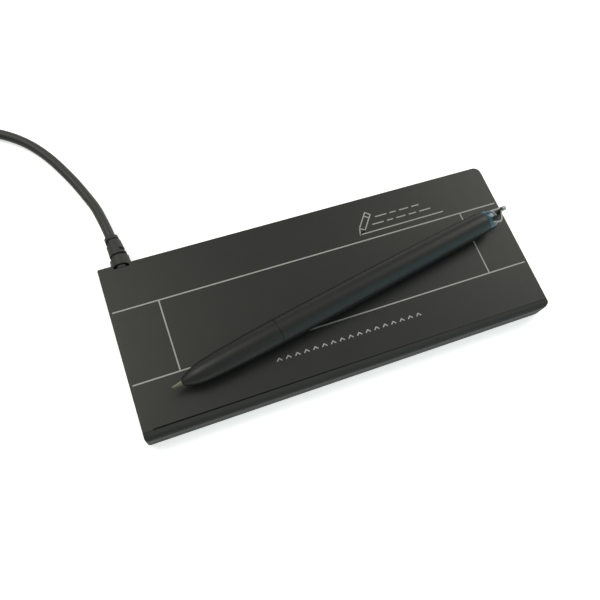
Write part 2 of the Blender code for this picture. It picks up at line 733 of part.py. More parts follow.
def base_cover(pad):
    """The lower tray, with feet and label recesses outside, and ribs and bosses inside."""
    mesh = slab_mesh("base_cover", [case_outline()], UNDERSIDE_Z, PARTING_Z)
    round_underside(mesh)
    base = place("base_cover", mesh, "case_plastic", pad)
    cut(base, slab("base_room", [case_outline(WALL)], FLOOR_Z, PARTING_Z + OVERRUN, None, pad, CUTTERS))
    for name, (x, y) in foot_places().items():
        low, high = UNDERSIDE_Z - OVERRUN, UNDERSIDE_Z + FOOT_SINK
        cut(base, cylinder(f"{name}_recess", FOOT_RADIUS + GAP, low, high, (x, y, 0.0), pad))
    half = (LABEL_LENGTH / 2 + GAP, LABEL_DEPTH / 2 + GAP)
    label_top = UNDERSIDE_Z + LABEL_THICKNESS + GAP
    label_low = (-half[0], -half[1], UNDERSIDE_Z - OVERRUN)
    cut(base, box("label_recess", label_low, (*half, label_top), None, pad, collection=CUTTERS))
    for index, (x, y) in enumerate(case_screw_places()):
        head_top = UNDERSIDE_Z + CASE_HEAD_SINK + CASE_HEAD_HEIGHT + GAP
        low = UNDERSIDE_Z - OVERRUN
        at = (x, y, 0.0)
        cut(base, cylinder(f"head_room_{index}", CASE_HEAD_RADIUS + GAP, low, head_top, at, pad))
        cut(base, cylinder(f"shank_hole_{index}", CASE_SHANK_RADIUS + GAP, low, FLOOR_Z + OVERRUN, at, pad))
    for index in (-1, 0, 1):
        x = index * PLATE_RIB_SPACING
        low = (x - PLATE_RIB_WIDTH / 2, WINDOW_FRONT_Y + PLATE_RIB_INSET, FLOOR_Z - OVERRUN)
        high = (x + PLATE_RIB_WIDTH / 2, WINDOW_BACK_Y - PLATE_RIB_INSET, PLATE_Z - GAP)
        join(base, box(f"plate_rib_{index + 1}", low, high, None, pad, collection=CUTTERS))
    for index, (x, y) in enumerate(board_screw_places()):
        at = (x, y, 0.0)
        join(base, cylinder(f"board_boss_{index}", BOARD_BOSS_RADIUS, FLOOR_Z - OVERRUN, BOSS_Z, at, pad))
        low = BOSS_Z - BOARD_SHANK_DEPTH - GAP
        cut(base, cylinder(f"boss_hole_{index}", BOARD_SHANK_RADIUS + GAP, low, BOSS_Z + OVERRUN, at, pad))
    for side in (-1, 1):
        near = EXIT_X + side * (FLANGE_WIDTH / 2 + GAP)
        far = near + side * FLANGE_RIB
        low = (min(near, far), FLANGE_Y, FLOOR_Z - OVERRUN)
        high = (max(near, far), HALF_DEPTH - WALL / 2, min(FLOOR_Z + FLANGE_RIB_RISE, PARTING_Z))
        join(base, box(f"relief_rib_{side + 1}", low, high, None, pad, collection=CUTTERS))
    cut(base, exit_hole("base_exit", pad))
    return smooth(base)


def round_underside(mesh):
    """Rounds the tray's lower outer edge."""
    shape = bmesh.new()
    shape.from_mesh(mesh)
    bmesh.ops.dissolve_limit(
        shape, angle_limit=1.0 * DEGREE, verts=shape.verts, edges=shape.edges, delimit=set()
    )
    rim = [edge for edge in shape.edges if all(abs(vert.co.z - UNDERSIDE_Z) < MERGE for vert in edge.verts)]
    bmesh.ops.bevel(shape, geom=rim, offset=BASE_EDGE, segments=2, profile=0.5, affect="EDGES")
    shape.to_mesh(mesh)
    shape.free()


def lip_round(pad):
    """A cutter that rounds the front lip's upper edge, along the pad's whole length."""
    steps = 5
    outline = [(-OVERRUN, PAD_HEIGHT - LIP_RADIUS)]
    for step in range(steps + 1):
        angle = step / steps * QUARTER_TURN
        inward = LIP_RADIUS - LIP_RADIUS * math.cos(angle)
        outline.append((inward, PAD_HEIGHT - LIP_RADIUS + LIP_RADIUS * math.sin(angle)))
    outline += [(LIP_RADIUS, PAD_HEIGHT + OVERRUN), (-OVERRUN, PAD_HEIGHT + OVERRUN)]
    return slab(
        "lip_round", [outline], -PAD_LENGTH, PAD_LENGTH, None, pad, CUTTERS,
        (0.0, -HALF_DEPTH, 0.0), (QUARTER_TURN, 0.0, QUARTER_TURN),
    )


def top_cover(pad):
    """The upper shell: roof with the sensor window, skirt, rounded front lip and screw posts."""
    cover = slab("top_cover", [case_outline()], COVER_Z, PAD_HEIGHT, "case_plastic", pad)
    cut(cover, lip_round(pad))
    seat_low = (-PAD_LENGTH, LIP_Y, ROOF_TOP_Z)
    seat_high = (PAD_LENGTH, PAD_DEPTH, PAD_HEIGHT + OVERRUN)
    cut(cover, box("overlay_seat", seat_low, seat_high, None, pad, collection=CUTTERS))
    room = [case_outline(WALL)]
    cut(cover, slab("cover_room", room, COVER_Z - OVERRUN, ROOF_LOW_Z, None, pad, CUTTERS))
    window = [window_outline(0.0)]
    cut(cover, slab("sensor_window", window, ROOF_LOW_Z - OVERRUN, PAD_HEIGHT, None, pad, CUTTERS))
    for index, (x, y) in enumerate(case_screw_places()):
        at = (x, y, 0.0)
        low = FLOOR_Z + GAP
        post_top = ROOF_LOW_Z + ROOF_THICKNESS / 2
        post = cylinder(f"case_post_{index}", CASE_POST_RADIUS, low, post_top, at, pad)
        join(cover, post)
        hole_top = ROOF_LOW_Z - CASE_POST_CAP
        hole_low = low - OVERRUN
        cut(cover, cylinder(f"post_hole_{index}", CASE_SHANK_RADIUS + GAP, hole_low, hole_top, at, pad))
    notch_low = (EXIT_X - NOTCH_HALF_WIDTH, HALF_DEPTH - WALL - OVERRUN, COVER_Z - OVERRUN)
    notch_high = (EXIT_X + NOTCH_HALF_WIDTH, HALF_DEPTH + OVERRUN, EXIT_HEIGHT)
    cut(cover, box("neck_slot", notch_low, notch_high, None, pad, collection=CUTTERS))
    top_low = (EXIT_X - NOTCH_HALF_WIDTH, HALF_DEPTH - NOTCH_DEPTH, EXIT_HEIGHT)
    top_high = (EXIT_X + NOTCH_HALF_WIDTH, HALF_DEPTH + OVERRUN, PAD_HEIGHT + OVERRUN)
    cut(cover, box("top_notch", top_low, top_high, None, pad, collection=CUTTERS))
    cut(cover, exit_hole("cover_exit", pad))
    return smooth(cover)


def graphic_overlay(pad):
    """The printed sheet that covers the pad's top behind the lip, notched over the cable."""
    sheet = slab("graphic_overlay", [case_outline()], OVERLAY_Z, PAD_HEIGHT, "overlay_film", pad)
    low = (-PAD_LENGTH, -PAD_DEPTH, OVERLAY_Z - OVERRUN)
    high = (PAD_LENGTH, LIP_Y + LIP_GROOVE, PAD_HEIGHT + OVERRUN)
    cut(sheet, box("overlay_front", low, high, None, pad, collection=CUTTERS))
    low = (EXIT_X - NOTCH_HALF_WIDTH, HALF_DEPTH - NOTCH_DEPTH, OVERLAY_Z - OVERRUN)
    high = (EXIT_X + NOTCH_HALF_WIDTH, HALF_DEPTH + OVERRUN, PAD_HEIGHT + OVERRUN)
    cut(sheet, box("overlay_notch", low, high, None, pad, collection=CUTTERS))
    return sheet


def touch_stack(pad):
    """Film, spacer, glass and foam in the window, on a steel plate that gives weight."""
    full = window_outline(GAP)
    slab("touch_film", [full], FILM_Z, ROOF_TOP_Z, "clear_film", pad)
    inner = window_outline(GAP + SPACER_BAND)
    slab("film_spacer", [full, inner], SPACER_Z, SPACER_Z + SPACER_THICKNESS, "spacer_tape", pad)
    slab("sensor_glass", [full], GLASS_Z, GLASS_Z + GLASS_THICKNESS, "sensor_glass", pad)
    slab("foam_pad", [full], FOAM_Z, FOAM_Z + FOAM_THICKNESS, "foam", pad)
    plate = window_outline(GAP - PLATE_OVERHANG)
    slab("weight_plate", [plate], PLATE_Z, PLATE_Z + PLATE_THICKNESS, "steel_plate", pad)


def flex_tail(pad):
    """The film's ribbon, from the glass edge down to its connector on the board."""
    start_z = GLASS_Z + FLEX_DROP
    end_z = CHIPS_Z + FLEX_CONNECTOR_HEIGHT / 2
    start_y = WINDOW_BACK_Y
    end_y = FLEX_CONNECTOR_Y - GAP
    steps = 8
    shape = bmesh.new()
    rows = []
    for step in range(steps + 1):
        share = step / steps
        ease = 0.5 - 0.5 * math.cos(math.pi * share)
        y = start_y + (end_y - start_y) * share
        z = start_z + (end_z - start_z) * ease
        rows.append([shape.verts.new((FLEX_X + side * FLEX_WIDTH / 2, y, z)) for side in (-1, 1)])
    for near, far in zip(rows, rows[1:]):
        shape.faces.new((near[0], near[1], far[1], far[0]))
    mesh = bpy.data.meshes.new("flex_tail")
    shape.to_mesh(mesh)
    shape.free()
    ribbon = place("flex_tail", mesh, "flex_film", pad)
    thick = ribbon.modifiers.new("thickness", "SOLIDIFY")
    thick.thickness = FLEX_THICKNESS
    thick.offset = 0.0


def on_board(name, x, y, length, depth, height, look, pad, edge=0.0):
    """A block that stands on the board, centred on x and y."""
    low = (x - length / 2, y - depth / 2, CHIPS_Z)
    high = (x + length / 2, y + depth / 2, CHIPS_Z + height)
    return box(name, low, high, look, pad, edge)


def controller_board(pad):
    """The circuit board behind the window, with its chips, connectors and screws."""
    low = (BOARD_LEFT_X, BOARD_FRONT_Y, BOARD_Z)
    high = (BOARD_RIGHT_X, BOARD_BACK_Y, BOARD_Z + BOARD_THICKNESS)
    board = box("controller_board", low, high, "circuit_board", pad)
    for index, (x, y) in enumerate(board_screw_places()):
        at = (x, y, 0.0)
        bottom, top = BOARD_Z - OVERRUN, BOARD_Z + BOARD_THICKNESS + OVERRUN
        cut(board, cylinder(f"board_hole_{index}", BOARD_SHANK_RADIUS + GAP, bottom, top, at, pad))
    on_board("controller_chip", CHIP_X, BOARD_Y, CHIP_SIDE, CHIP_SIDE, CHIP_HEIGHT, "chip_resin", pad)
    crystal_x = CHIP_X - CHIP_SIDE / 2 - CRYSTAL_SPACE - CRYSTAL_LENGTH / 2
    on_board(
        "clock_crystal", crystal_x, BOARD_Y, CRYSTAL_LENGTH, CRYSTAL_DEPTH, CRYSTAL_HEIGHT,
        "screw_steel", pad, CRYSTAL_HEIGHT / 4,
    )
    on_board(
        "flex_connector", FLEX_X, FLEX_CONNECTOR_Y + FLEX_CONNECTOR_DEPTH / 2,
        FLEX_CONNECTOR_LENGTH, FLEX_CONNECTOR_DEPTH, FLEX_CONNECTOR_HEIGHT, "connector", pad,
    )
    header_depth = CORE_SPAN + 2 * HEADER_END
    plug_depth = CORE_SPAN + 2 * HEADER_PLUG_END
    on_board("cable_header", HEADER_X, BOARD_Y, HEADER_LENGTH, header_depth, HEADER_HEIGHT, "connector", pad)
    on_board(
        "header_plug", HEADER_PLUG_X, BOARD_Y, HEADER_PLUG_LENGTH, plug_depth, HEADER_HEIGHT,
        "connector", pad,
    )
    board_depth = BOARD_BACK_Y - BOARD_FRONT_Y
    rows = [BOARD_Y + side * board_depth * CAPACITOR_ROW_SHARE for side in (-1, 1)]
    first_x = CHIP_X + CHIP_SIDE / 2 + CAPACITOR_PITCH
    places = [(first_x + i * CAPACITOR_PITCH, y) for y in rows for i in range(CAPACITORS_PER_ROW)]
    single = on_board(
        "capacitor", 0.0, 0.0, CAPACITOR_LENGTH, CAPACITOR_DEPTH, CAPACITOR_HEIGHT, None, None
    )
    bpy.context.view_layer.update()
    single.data.transform(single.matrix_world)
    single.location = (0.0, 0.0, 0.0)
    repeat("chip_capacitor", single, places, "ceramic", pad)


def screw_profile(shank_radius, shank_top, head_radius, head_low, head_high):
    """Outline of a screw whose head is below its shank, from the top of the shank down."""
    point = shank_radius / 2
    return [
        (0.0, shank_top),
        (point, shank_top),
        (shank_radius, shank_top - point),
        (shank_radius, head_high),
        (head_radius, head_high),
        (head_radius, head_low),
        (0.0, head_low),
    ]


def cross_cutters(name, low, high, pad):
    """Two crossed bars that cut a screw's drive."""
    bars = []
    for index, (length, width) in enumerate(((DRIVE_LENGTH, DRIVE_WIDTH), (DRIVE_WIDTH, DRIVE_LENGTH))):
        corner = (-length / 2, -width / 2, low)
        other = (length / 2, width / 2, high)
        bars.append(box(f"{name}_bar_{index}", corner, other, None, pad, collection=CUTTERS))
    return bars


def screws(pad):
    """Screws up through the base into the cover's posts, and down through the board."""
    head_low = UNDERSIDE_Z + CASE_HEAD_SINK
    head_high = head_low + CASE_HEAD_HEIGHT
    shank_top = ROOF_LOW_Z - CASE_POST_CAP - GAP
    profile = screw_profile(CASE_SHANK_RADIUS, shank_top, CASE_HEAD_RADIUS, head_low, head_high)
    single = turned("whole_case_screw", profile, "screw_steel", None, sides=16)
    cut(single, *cross_cutters("case_drive", head_low - OVERRUN, head_low + DRIVE_DEPTH, None))
    repeat("case_screw", single, case_screw_places(), "screw_steel", pad)
    head_bottom = CHIPS_Z
    head_top = head_bottom + BOARD_HEAD_HEIGHT
    point = BOARD_SHANK_RADIUS / 2
    shank_low = BOSS_Z - BOARD_SHANK_DEPTH
    profile = [
        (0.0, head_top),
        (BOARD_HEAD_RADIUS, head_top),
        (BOARD_HEAD_RADIUS, head_bottom),
        (BOARD_SHANK_RADIUS, head_bottom),
        (BOARD_SHANK_RADIUS, shank_low + point),
        (point, shank_low),
        (0.0, shank_low),
    ]
    single = turned("whole_board_screw", profile, "screw_steel", None, sides=16)
    cut(single, *cross_cutters("board_drive", head_top - DRIVE_DEPTH, head_top + OVERRUN, None))
    repeat("board_screw", single, board_screw_places(), "screw_steel", pad)


def feet_and_label(pad):
    """Rubber feet in their recesses, and a bare label plate in the underside."""
    edge = BASE_EDGE / 2
    top = UNDERSIDE_Z + FOOT_SINK - GAP
    for name, (x, y) in foot_places().items():
        profile = [
            (0.0, top),
            (FOOT_RADIUS, top),
            (FOOT_RADIUS, edge),
            (FOOT_RADIUS - edge, 0.0),
            (0.0, 0.0),
        ]
        turned(name, profile, "rubber", pad, sides=24, location=(x, y, 0.0))
    low = (-LABEL_LENGTH / 2, -LABEL_DEPTH / 2, UNDERSIDE_Z)
    high = (LABEL_LENGTH / 2, LABEL_DEPTH / 2, UNDERSIDE_Z + LABEL_THICKNESS)
    box("base_label", low, high, "label", pad)


def strain_relief(pad):
    """The moulded relief: flange behind the wall, neck, collar, waist and tapered sleeve."""
    collar_end = GAP + RELIEF_COLLAR_LENGTH
    waist_end = collar_end + RELIEF_WAIST_LENGTH
    ring_start = RELIEF_LENGTH - RELIEF_TIP_LENGTH - RELIEF_RING_LENGTH
    ring_end = ring_start + RELIEF_RING_LENGTH
    sections = [
        (-WALL - GAP - FLANGE_THICKNESS / 2, NECK_RADIUS),
        (GAP, NECK_RADIUS),
        (GAP + RELIEF_STEP, RELIEF_COLLAR_RADIUS),
        (collar_end, RELIEF_COLLAR_END_RADIUS),
        (collar_end + RELIEF_STEP, RELIEF_WAIST_RADIUS),
        (waist_end, RELIEF_WAIST_RADIUS),
        (waist_end + RELIEF_STEP, RELIEF_SLEEVE_RADIUS),
        (ring_start, RELIEF_SLEEVE_END_RADIUS),
        (ring_start + RELIEF_STEP, RELIEF_RING_RADIUS),
        (ring_end, RELIEF_RING_RADIUS),
        (ring_end + RELIEF_STEP, RELIEF_TIP_RADIUS),
        (RELIEF_LENGTH, RELIEF_TIP_RADIUS),
    ]
    points = []
    for distance, _ in sections:
        bend = max(distance - collar_end, 0.0) / (RELIEF_LENGTH - collar_end)
        x = EXIT_X - RELIEF_SWAY * bend**2
        z = EXIT_HEIGHT - RELIEF_FALL * bend**2
        points.append((x, HALF_DEPTH + distance, z))
    radii = [radius for _, radius in sections]
    curve = tube_curve("strain_relief", points, RELIEF_COLLAR_RADIUS, 4, radii)
    bare = bpy.data.objects.new("strain_relief", curve)
    bpy.context.scene.collection.objects.link(bare)
    relief = place("strain_relief", mesh_from(bare), "cable_jacket", pad)
    low = EXIT_HEIGHT - FLANGE_LOWER - FLANGE_HEIGHT / 2
    flange_low = (EXIT_X - FLANGE_WIDTH / 2, FLANGE_Y, low)
    flange_high = (EXIT_X + FLANGE_WIDTH / 2, FLANGE_BACK_Y, low + FLANGE_HEIGHT)
    join(relief, box("relief_flange", flange_low, flange_high, None, pad, collection=CUTTERS))
    smooth(relief)


def cable_cores(pad):
    """The cable's four insulated cores, from the flange round to the board's plug."""
    end_x = HEADER_PLUG_X - HEADER_PLUG_LENGTH / 2 - GAP
    end_z = CHIPS_Z + HEADER_HEIGHT / 2
    start_y = FLANGE_Y - GAP
    bend_steps = 4
    for index in range(CORE_COUNT):
        offset = index * CORE_PITCH - CORE_SPAN / 2
        x = EXIT_X + offset
        y = BOARD_Y + offset
        flat = [(x, start_y)]
        for step in range(bend_steps + 1):
            angle = (2 + step / bend_steps) * QUARTER_TURN
            flat.append(
                (
                    x + CORE_BEND + CORE_BEND * math.cos(angle),
                    y + CORE_BEND + CORE_BEND * math.sin(angle),
                )
            )
        flat.append((end_x, y))
        total = route_length([(a, b, 0.0) for a, b in flat])
        points = []
        for count, (a, b) in enumerate(flat):
            share = route_length([(c, d, 0.0) for c, d in flat[: count + 1]]) / total
            points.append((a, b, EXIT_HEIGHT + (end_z - EXIT_HEIGHT) * share))
        tube(f"cable_core_{index + 1}", points, CORE_RADIUS, CORE_FINISHES[index], pad, 1)


def coil_point(turns):
    """A point of the coil's centre line, as many turns from its start."""
    half_climb = COIL_CLIMB_TURNS / 2
    layer, within = divmod(turns, COIL_TURNS_PER_LAYER)
    inward = COIL_PITCH * (within if layer % 2 == 0 else COIL_TURNS_PER_LAYER - within)
    level = layer
    if within > COIL_TURNS_PER_LAYER - half_climb and layer < COIL_LAYERS - 1:
        level += (within - COIL_TURNS_PER_LAYER + half_climb) / COIL_CLIMB_TURNS
    if within < half_climb and 0 < layer < COIL_LAYERS:
        level += (within - half_climb) / COIL_CLIMB_TURNS
    level = min(level, COIL_LAYERS - 1)
    angle = COIL_START_ANGLE + 2 * math.pi * turns
    radius = COIL_OUTER_RADIUS - inward
    return Vector(
        (
            COIL_X + radius * math.cos(angle),
            COIL_Y + radius * math.sin(angle),
            COIL_Z + level * COIL_LAYER,
        )
    )


def coil_points():
    """The coil's centre line, with a straight run of one cable diameter at each end."""
    turns = COIL_LAYERS * COIL_TURNS_PER_LAYER
    steps = turns * COIL_POINTS_PER_TURN
    points = [coil_point(i / COIL_POINTS_PER_TURN) for i in range(steps)]
    last = coil_point(0.0)
    last.z += (COIL_LAYERS - 1) * COIL_LAYER
    points.append(last)
    along = Vector((-math.sin(COIL_START_ANGLE), math.cos(COIL_START_ANGLE), 0.0))
    run = 2 * CABLE_RADIUS * along
    return [points[0] - run, *points, points[-1] + run]


def least_gap(points, radius):
    """The smallest clearance between stretches of one tube that aren't neighbours on it."""
    apart = int(COIL_POINTS_PER_TURN * COIL_CLIMB_TURNS)
    least = math.inf
    for i, a in enumerate(points):
        for b in points[i + apart :]:
            least = min(least, (a - b).length)
    return least - 2 * radius


def free_cable():
    """The cable's seen stretch, the tied coil of the rest, and the stretch to its plug."""
    run = smooth_route(RUN_ROUTE, 15)
    tube("cable_run", run, CABLE_RADIUS, "cable_jacket", None)
    coil = coil_points()
    tube("cable_coil", coil, CABLE_RADIUS, "cable_jacket", None, 1)
    tail = smooth_route(TAIL_ROUTE, 11)
    tube("cable_tail", tail, CABLE_RADIUS, "cable_jacket", None)
    gap = least_gap(coil, CABLE_RADIUS)
    length = route_length(run) + route_length(coil) + route_length(tail)
    print(f"coil: least gap to itself {gap / MM:.2f} mm, at least {LEAST_CORD_GAP / MM:.2f} mm wanted")
    print(f"cable: free length {length:.3f} m, coil {route_length(coil):.3f} m")


def coil_tie():
    """The strap round the coil's turns, as a closed band across them."""
    reach = COIL_PITCH * COIL_TURNS_PER_LAYER
    inner = COIL_OUTER_RADIUS - reach - CABLE_RADIUS
    inner = math.sqrt(inner**2 - (TIE_WIDTH / 2) ** 2) - TIE_CLEARANCE
    outer = COIL_OUTER_RADIUS + CABLE_RADIUS + TIE_CLEARANCE
    low = TIE_THICKNESS
    high = COIL_Z + (COIL_LAYERS - 1) * COIL_LAYER + CABLE_RADIUS + TIE_CLEARANCE
    hole = rounded_outline((inner, low), (outer, high), [TIE_RADIUS - TIE_THICKNESS] * 4, 4)
    edge = rounded_outline(
        (inner - TIE_THICKNESS, 0.0), (outer + TIE_THICKNESS, high + TIE_THICKNESS), [TIE_RADIUS] * 4, 4
    )
    slab(
        "coil_tie", [edge, hole], -TIE_WIDTH / 2, TIE_WIDTH / 2, "hook_strap", None,
        location=(COIL_X, COIL_Y, 0.0), rotation=(90.0 * DEGREE, 0.0, TIE_ANGLE),
    )


def cable_plug():
    """The plug: moulded body with its own relief, metal shell, insulating tongue and contacts."""
    plug = empty("plug_axis", (PLUG_X, PLUG_Y, PLUG_Z), rotation=(90.0 * DEGREE, 0.0, 0.0))
    body_low = (-PLUG_BODY_WIDTH / 2, -PLUG_BODY_HEIGHT / 2, PLUG_RELIEF_LENGTH)
    body_high = (PLUG_BODY_WIDTH / 2, PLUG_BODY_HEIGHT / 2, PLUG_RELIEF_LENGTH + PLUG_BODY_LENGTH)
    body = box("plug_body", body_low, body_high, "cable_jacket", plug, PLUG_BODY_EDGE)
    relief = turned(
        "plug_relief",
        [
            (0.0, PLUG_RELIEF_LENGTH + OVERRUN),
            (PLUG_RELIEF_RADIUS, PLUG_RELIEF_LENGTH + OVERRUN),
            (PLUG_RELIEF_RADIUS, PLUG_RELIEF_LENGTH),
            (PLUG_RELIEF_TIP_RADIUS, 0.0),
            (0.0, 0.0),
        ],
        None, plug, sides=16, collection=CUTTERS,
    )
    join(body, relief)
    smooth(body)
    start = PLUG_RELIEF_LENGTH + PLUG_BODY_LENGTH + GAP
    end = start + SHELL_LENGTH
    outside = rounded_outline(
        (-SHELL_WIDTH / 2, -SHELL_HEIGHT / 2), (SHELL_WIDTH / 2, SHELL_HEIGHT / 2), [SHELL_RADIUS] * 4, 2
    )
    inner_x = SHELL_WIDTH / 2 - SHELL_WALL
    inner_y = SHELL_HEIGHT / 2 - SHELL_WALL
    inside = rounded_outline((-inner_x, -inner_y), (inner_x, inner_y), [SHELL_RADIUS - SHELL_WALL] * 4, 1)
    shell = slab("plug_shell", [outside, inside], start, end, "plug_metal", plug)
    for index in (-1, 1):
        x = index * SHELL_WINDOW_SPACING / 2
        low = (x - SHELL_WINDOW / 2, -SHELL_HEIGHT, start + SHELL_WINDOW_START)
        high = (x + SHELL_WINDOW / 2, SHELL_HEIGHT, start + SHELL_WINDOW_START + SHELL_WINDOW)
        cut(shell, box(f"shell_window_{index + 1}", low, high, None, plug, collection=CUTTERS))
    tongue_end = end - TONGUE_SHORTER
    tongue_x = inner_x - GAP
    tongue_top = -inner_y + GAP + TONGUE_HEIGHT
    box(
        "plug_tongue", (-tongue_x, -inner_y + GAP, start), (tongue_x, tongue_top, tongue_end),
        "connector", plug,
    )
    low = (-CONTACT_WIDTH / 2, tongue_top + GAP, tongue_end - CONTACT_LENGTH)
    high = (CONTACT_WIDTH / 2, tongue_top + GAP + CONTACT_HEIGHT, tongue_end - SHELL_WALL)
    single = box("contact", low, high, None, None)
    bpy.context.view_layer.update()
    single.data.transform(single.matrix_world)
    single.location = (0.0, 0.0, 0.0)
    places = [((i - (CONTACT_COUNT - 1) / 2) * CONTACT_PITCH, 0.0) for i in range(CONTACT_COUNT)]
    repeat("plug_contact", single, places, "contact_gold", plug)


def pen_profile(top, shares, length, low, high):
    """Outer profile points from the far end to the near one, from shares of length and radius."""
    return [(low + (high - low) * grown, top + length * along) for along, grown in reversed(shares)]


def pen(pad):
    """The pen along its own axis: point, front section, rod, barrel and the tail cap's eye."""
    axis = empty("pen_axis", (PEN_X, PEN_Y, PEN_Z), pad, (0.0, 90.0 * DEGREE, PEN_YAW))
    point = [
        (0.0, POINT_STEM_END),
        (POINT_STEM_RADIUS, POINT_STEM_END),
        (POINT_STEM_RADIUS, NOSE_START + GAP),
        (POINT_RADIUS, NOSE_START - GAP),
        (POINT_END_RADIUS, POINT_END_RADIUS),
        (POINT_END_RADIUS * math.sin(45.0 * DEGREE), POINT_END_RADIUS * (1 - math.cos(45.0 * DEGREE))),
        (0.0, 0.0),
    ]
    turned("pen_point", point, "pen_point", axis, sides=16)
    bore = ROD_BORE_RADIUS
    nose = pen_profile(NOSE_START, NOSE_SHARES, SEAM_AT - NOSE_START, bore + NOSE_WALL, SEAM_RADIUS)
    spigot_end = SEAM_AT + FRONT_SPIGOT_LENGTH
    spigot = [(bore, spigot_end), (SPIGOT_RADIUS, spigot_end), (SPIGOT_RADIUS, SEAM_AT)]
    front = [*spigot, *nose, (bore, NOSE_START)]
    turned("pen_front_section", front, "pen_plastic", axis, closed=True)
    barrel_start = SEAM_AT + GAP
    outside = pen_profile(
        barrel_start, BARREL_SHARES, BARREL_END - barrel_start, BARREL_END_RADIUS, BARREL_RADIUS
    )
    barrel = [*outside, (BARREL_BORE_RADIUS, barrel_start), (BARREL_BORE_RADIUS, BARREL_END)]
    turned("pen_barrel", barrel, "pen_plastic", axis, closed=True)
    rod_start = POINT_STEM_END + GAP
    socket_low = BARREL_END - CAP_SPIGOT_LENGTH
    rod_end = socket_low + CAP_SOCKET_DEPTH - GAP
    rod = [(0.0, rod_end), (ROD_RADIUS, rod_end), (ROD_RADIUS, rod_start), (0.0, rod_start)]
    turned("stylus_rod", rod, "rod_plastic", axis, sides=12)
    tail_cap(axis, socket_low)
    return axis


def tail_cap(axis, spigot_start):
    """The cap that closes the barrel: spigot with the rod's socket, shoulder and slotted eye."""
    shoulder = BARREL_END + GAP
    dome_start = shoulder + CAP_SHOULDER_LENGTH
    dome = pen_profile(dome_start, DOME_SHARES, CAP_LENGTH - CAP_SHOULDER_LENGTH, 0.0, BARREL_END_RADIUS)
    socket = ROD_BORE_RADIUS
    profile = [
        (0.0, shoulder + CAP_LENGTH),
        *dome,
        (BARREL_END_RADIUS, shoulder),
        (SPIGOT_RADIUS, shoulder),
        (SPIGOT_RADIUS, spigot_start),
        (socket, spigot_start),
        (socket, spigot_start + CAP_SOCKET_DEPTH),
        (0.0, spigot_start + CAP_SOCKET_DEPTH),
    ]
    cap = turned("pen_tail_cap", profile, "pen_plastic", axis)
    top = shoulder + CAP_LENGTH + OVERRUN
    wide = 2 * BARREL_END_RADIUS
    slot_low = (-wide, EYE_SLOT_LOW, dome_start)
    slot = box("eye_slot", slot_low, (wide, EYE_SLOT_HIGH, top), None, axis, collection=CUTTERS)
    face_low = (-wide, EYE_FACE, dome_start)
    face = box("eye_face", face_low, (wide, wide, top), None, axis, collection=CUTTERS)
    low, high = EYE_SLOT_HIGH - OVERRUN, EYE_FACE + OVERRUN
    hole = cylinder(
        "eye_hole", EYE_RADIUS, -high, -low, (0.0, 0.0, EYE_AT), axis, sides=16,
        rotation=(90.0 * DEGREE, 0.0, 0.0),
    )
    cut(cap, slot, face, hole)
    smooth(cap)


def tether_ring(axis):
    """The wire ring through the cap's eye, and the ferrule that closes it."""
    ring = empty("ring_axis", (0.0, 0.0, EYE_AT), axis, (0.0, RING_DROOP, 0.0))
    knots = [(0.0, RING_OUTER_ARM * side, RING_LENGTH * along) for along, side in RING_SHARES]
    points = smooth_route(knots, RING_POINT_COUNT)
    tube("tether_ring", points, WIRE_RADIUS, "ring_wire", ring)
    start = RING_LENGTH + GAP
    end = start + FERRULE_LENGTH
    profile = [
        (0.0, end),
        (FERRULE_RADIUS - FERRULE_EDGE, end),
        (FERRULE_RADIUS, end - FERRULE_EDGE),
        (FERRULE_RADIUS, start + FERRULE_EDGE),
        (FERRULE_RADIUS - FERRULE_EDGE / 2, start),
        (0.0, start),
    ]
    turned("ring_ferrule", profile, "ring_wire", ring, sides=16, location=(0.0, FERRULE_SIDE, 0.0))


def build():
    clear_scene()
    pad = empty("pad_centre", (PAD_X, 0.0, 0.0))
    base_cover(pad)
    top_cover(pad)
    graphic_overlay(pad)
    touch_stack(pad)
    flex_tail(pad)
    controller_board(pad)
    screws(pad)
    feet_and_label(pad)
    strain_relief(pad)
    cable_cores(pad)
    free_cable()
    coil_tie()
    cable_plug()
    tether_ring(pen(pad))


build()
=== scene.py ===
"""Looks of the signature pad with its pen and cable.

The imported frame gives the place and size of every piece. This script adds the fine meshes, the
finishes, the free cable, the studio and the camera. Lengths are in metres.
"""

import json
import logging
import math
from dataclasses import dataclass, field
from enum import Enum
from typing import Callable, Sequence

import bmesh
import bpy
from mathutils import Matrix, Vector


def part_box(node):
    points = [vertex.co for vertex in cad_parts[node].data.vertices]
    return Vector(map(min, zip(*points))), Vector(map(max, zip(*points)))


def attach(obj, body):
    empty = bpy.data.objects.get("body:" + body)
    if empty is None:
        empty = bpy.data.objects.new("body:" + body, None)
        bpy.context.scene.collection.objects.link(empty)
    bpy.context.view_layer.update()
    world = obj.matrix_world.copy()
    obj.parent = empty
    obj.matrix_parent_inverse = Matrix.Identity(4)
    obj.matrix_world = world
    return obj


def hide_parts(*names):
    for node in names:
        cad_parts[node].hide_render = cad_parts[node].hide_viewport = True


MM = 0.001
DEGREE = math.pi / 180
QUARTER_TURN = math.pi / 2
FULL_TURN = 2 * math.pi
TINY = 1e-7
SHADE_CREASE = 32 * DEGREE  # edges that turn more are shaded as sharp
EASED_CREASE = 40 * DEGREE  # edges that turn more are eased
PATCH_DETAIL = 2.0  # finer octaves in a patchy pattern
GLOSS_PATCHES = 3  # patches of gloss across one patch of colour
WAVE_UNIT = 20  # radians that a wave texture turns in a metre at a scale of one

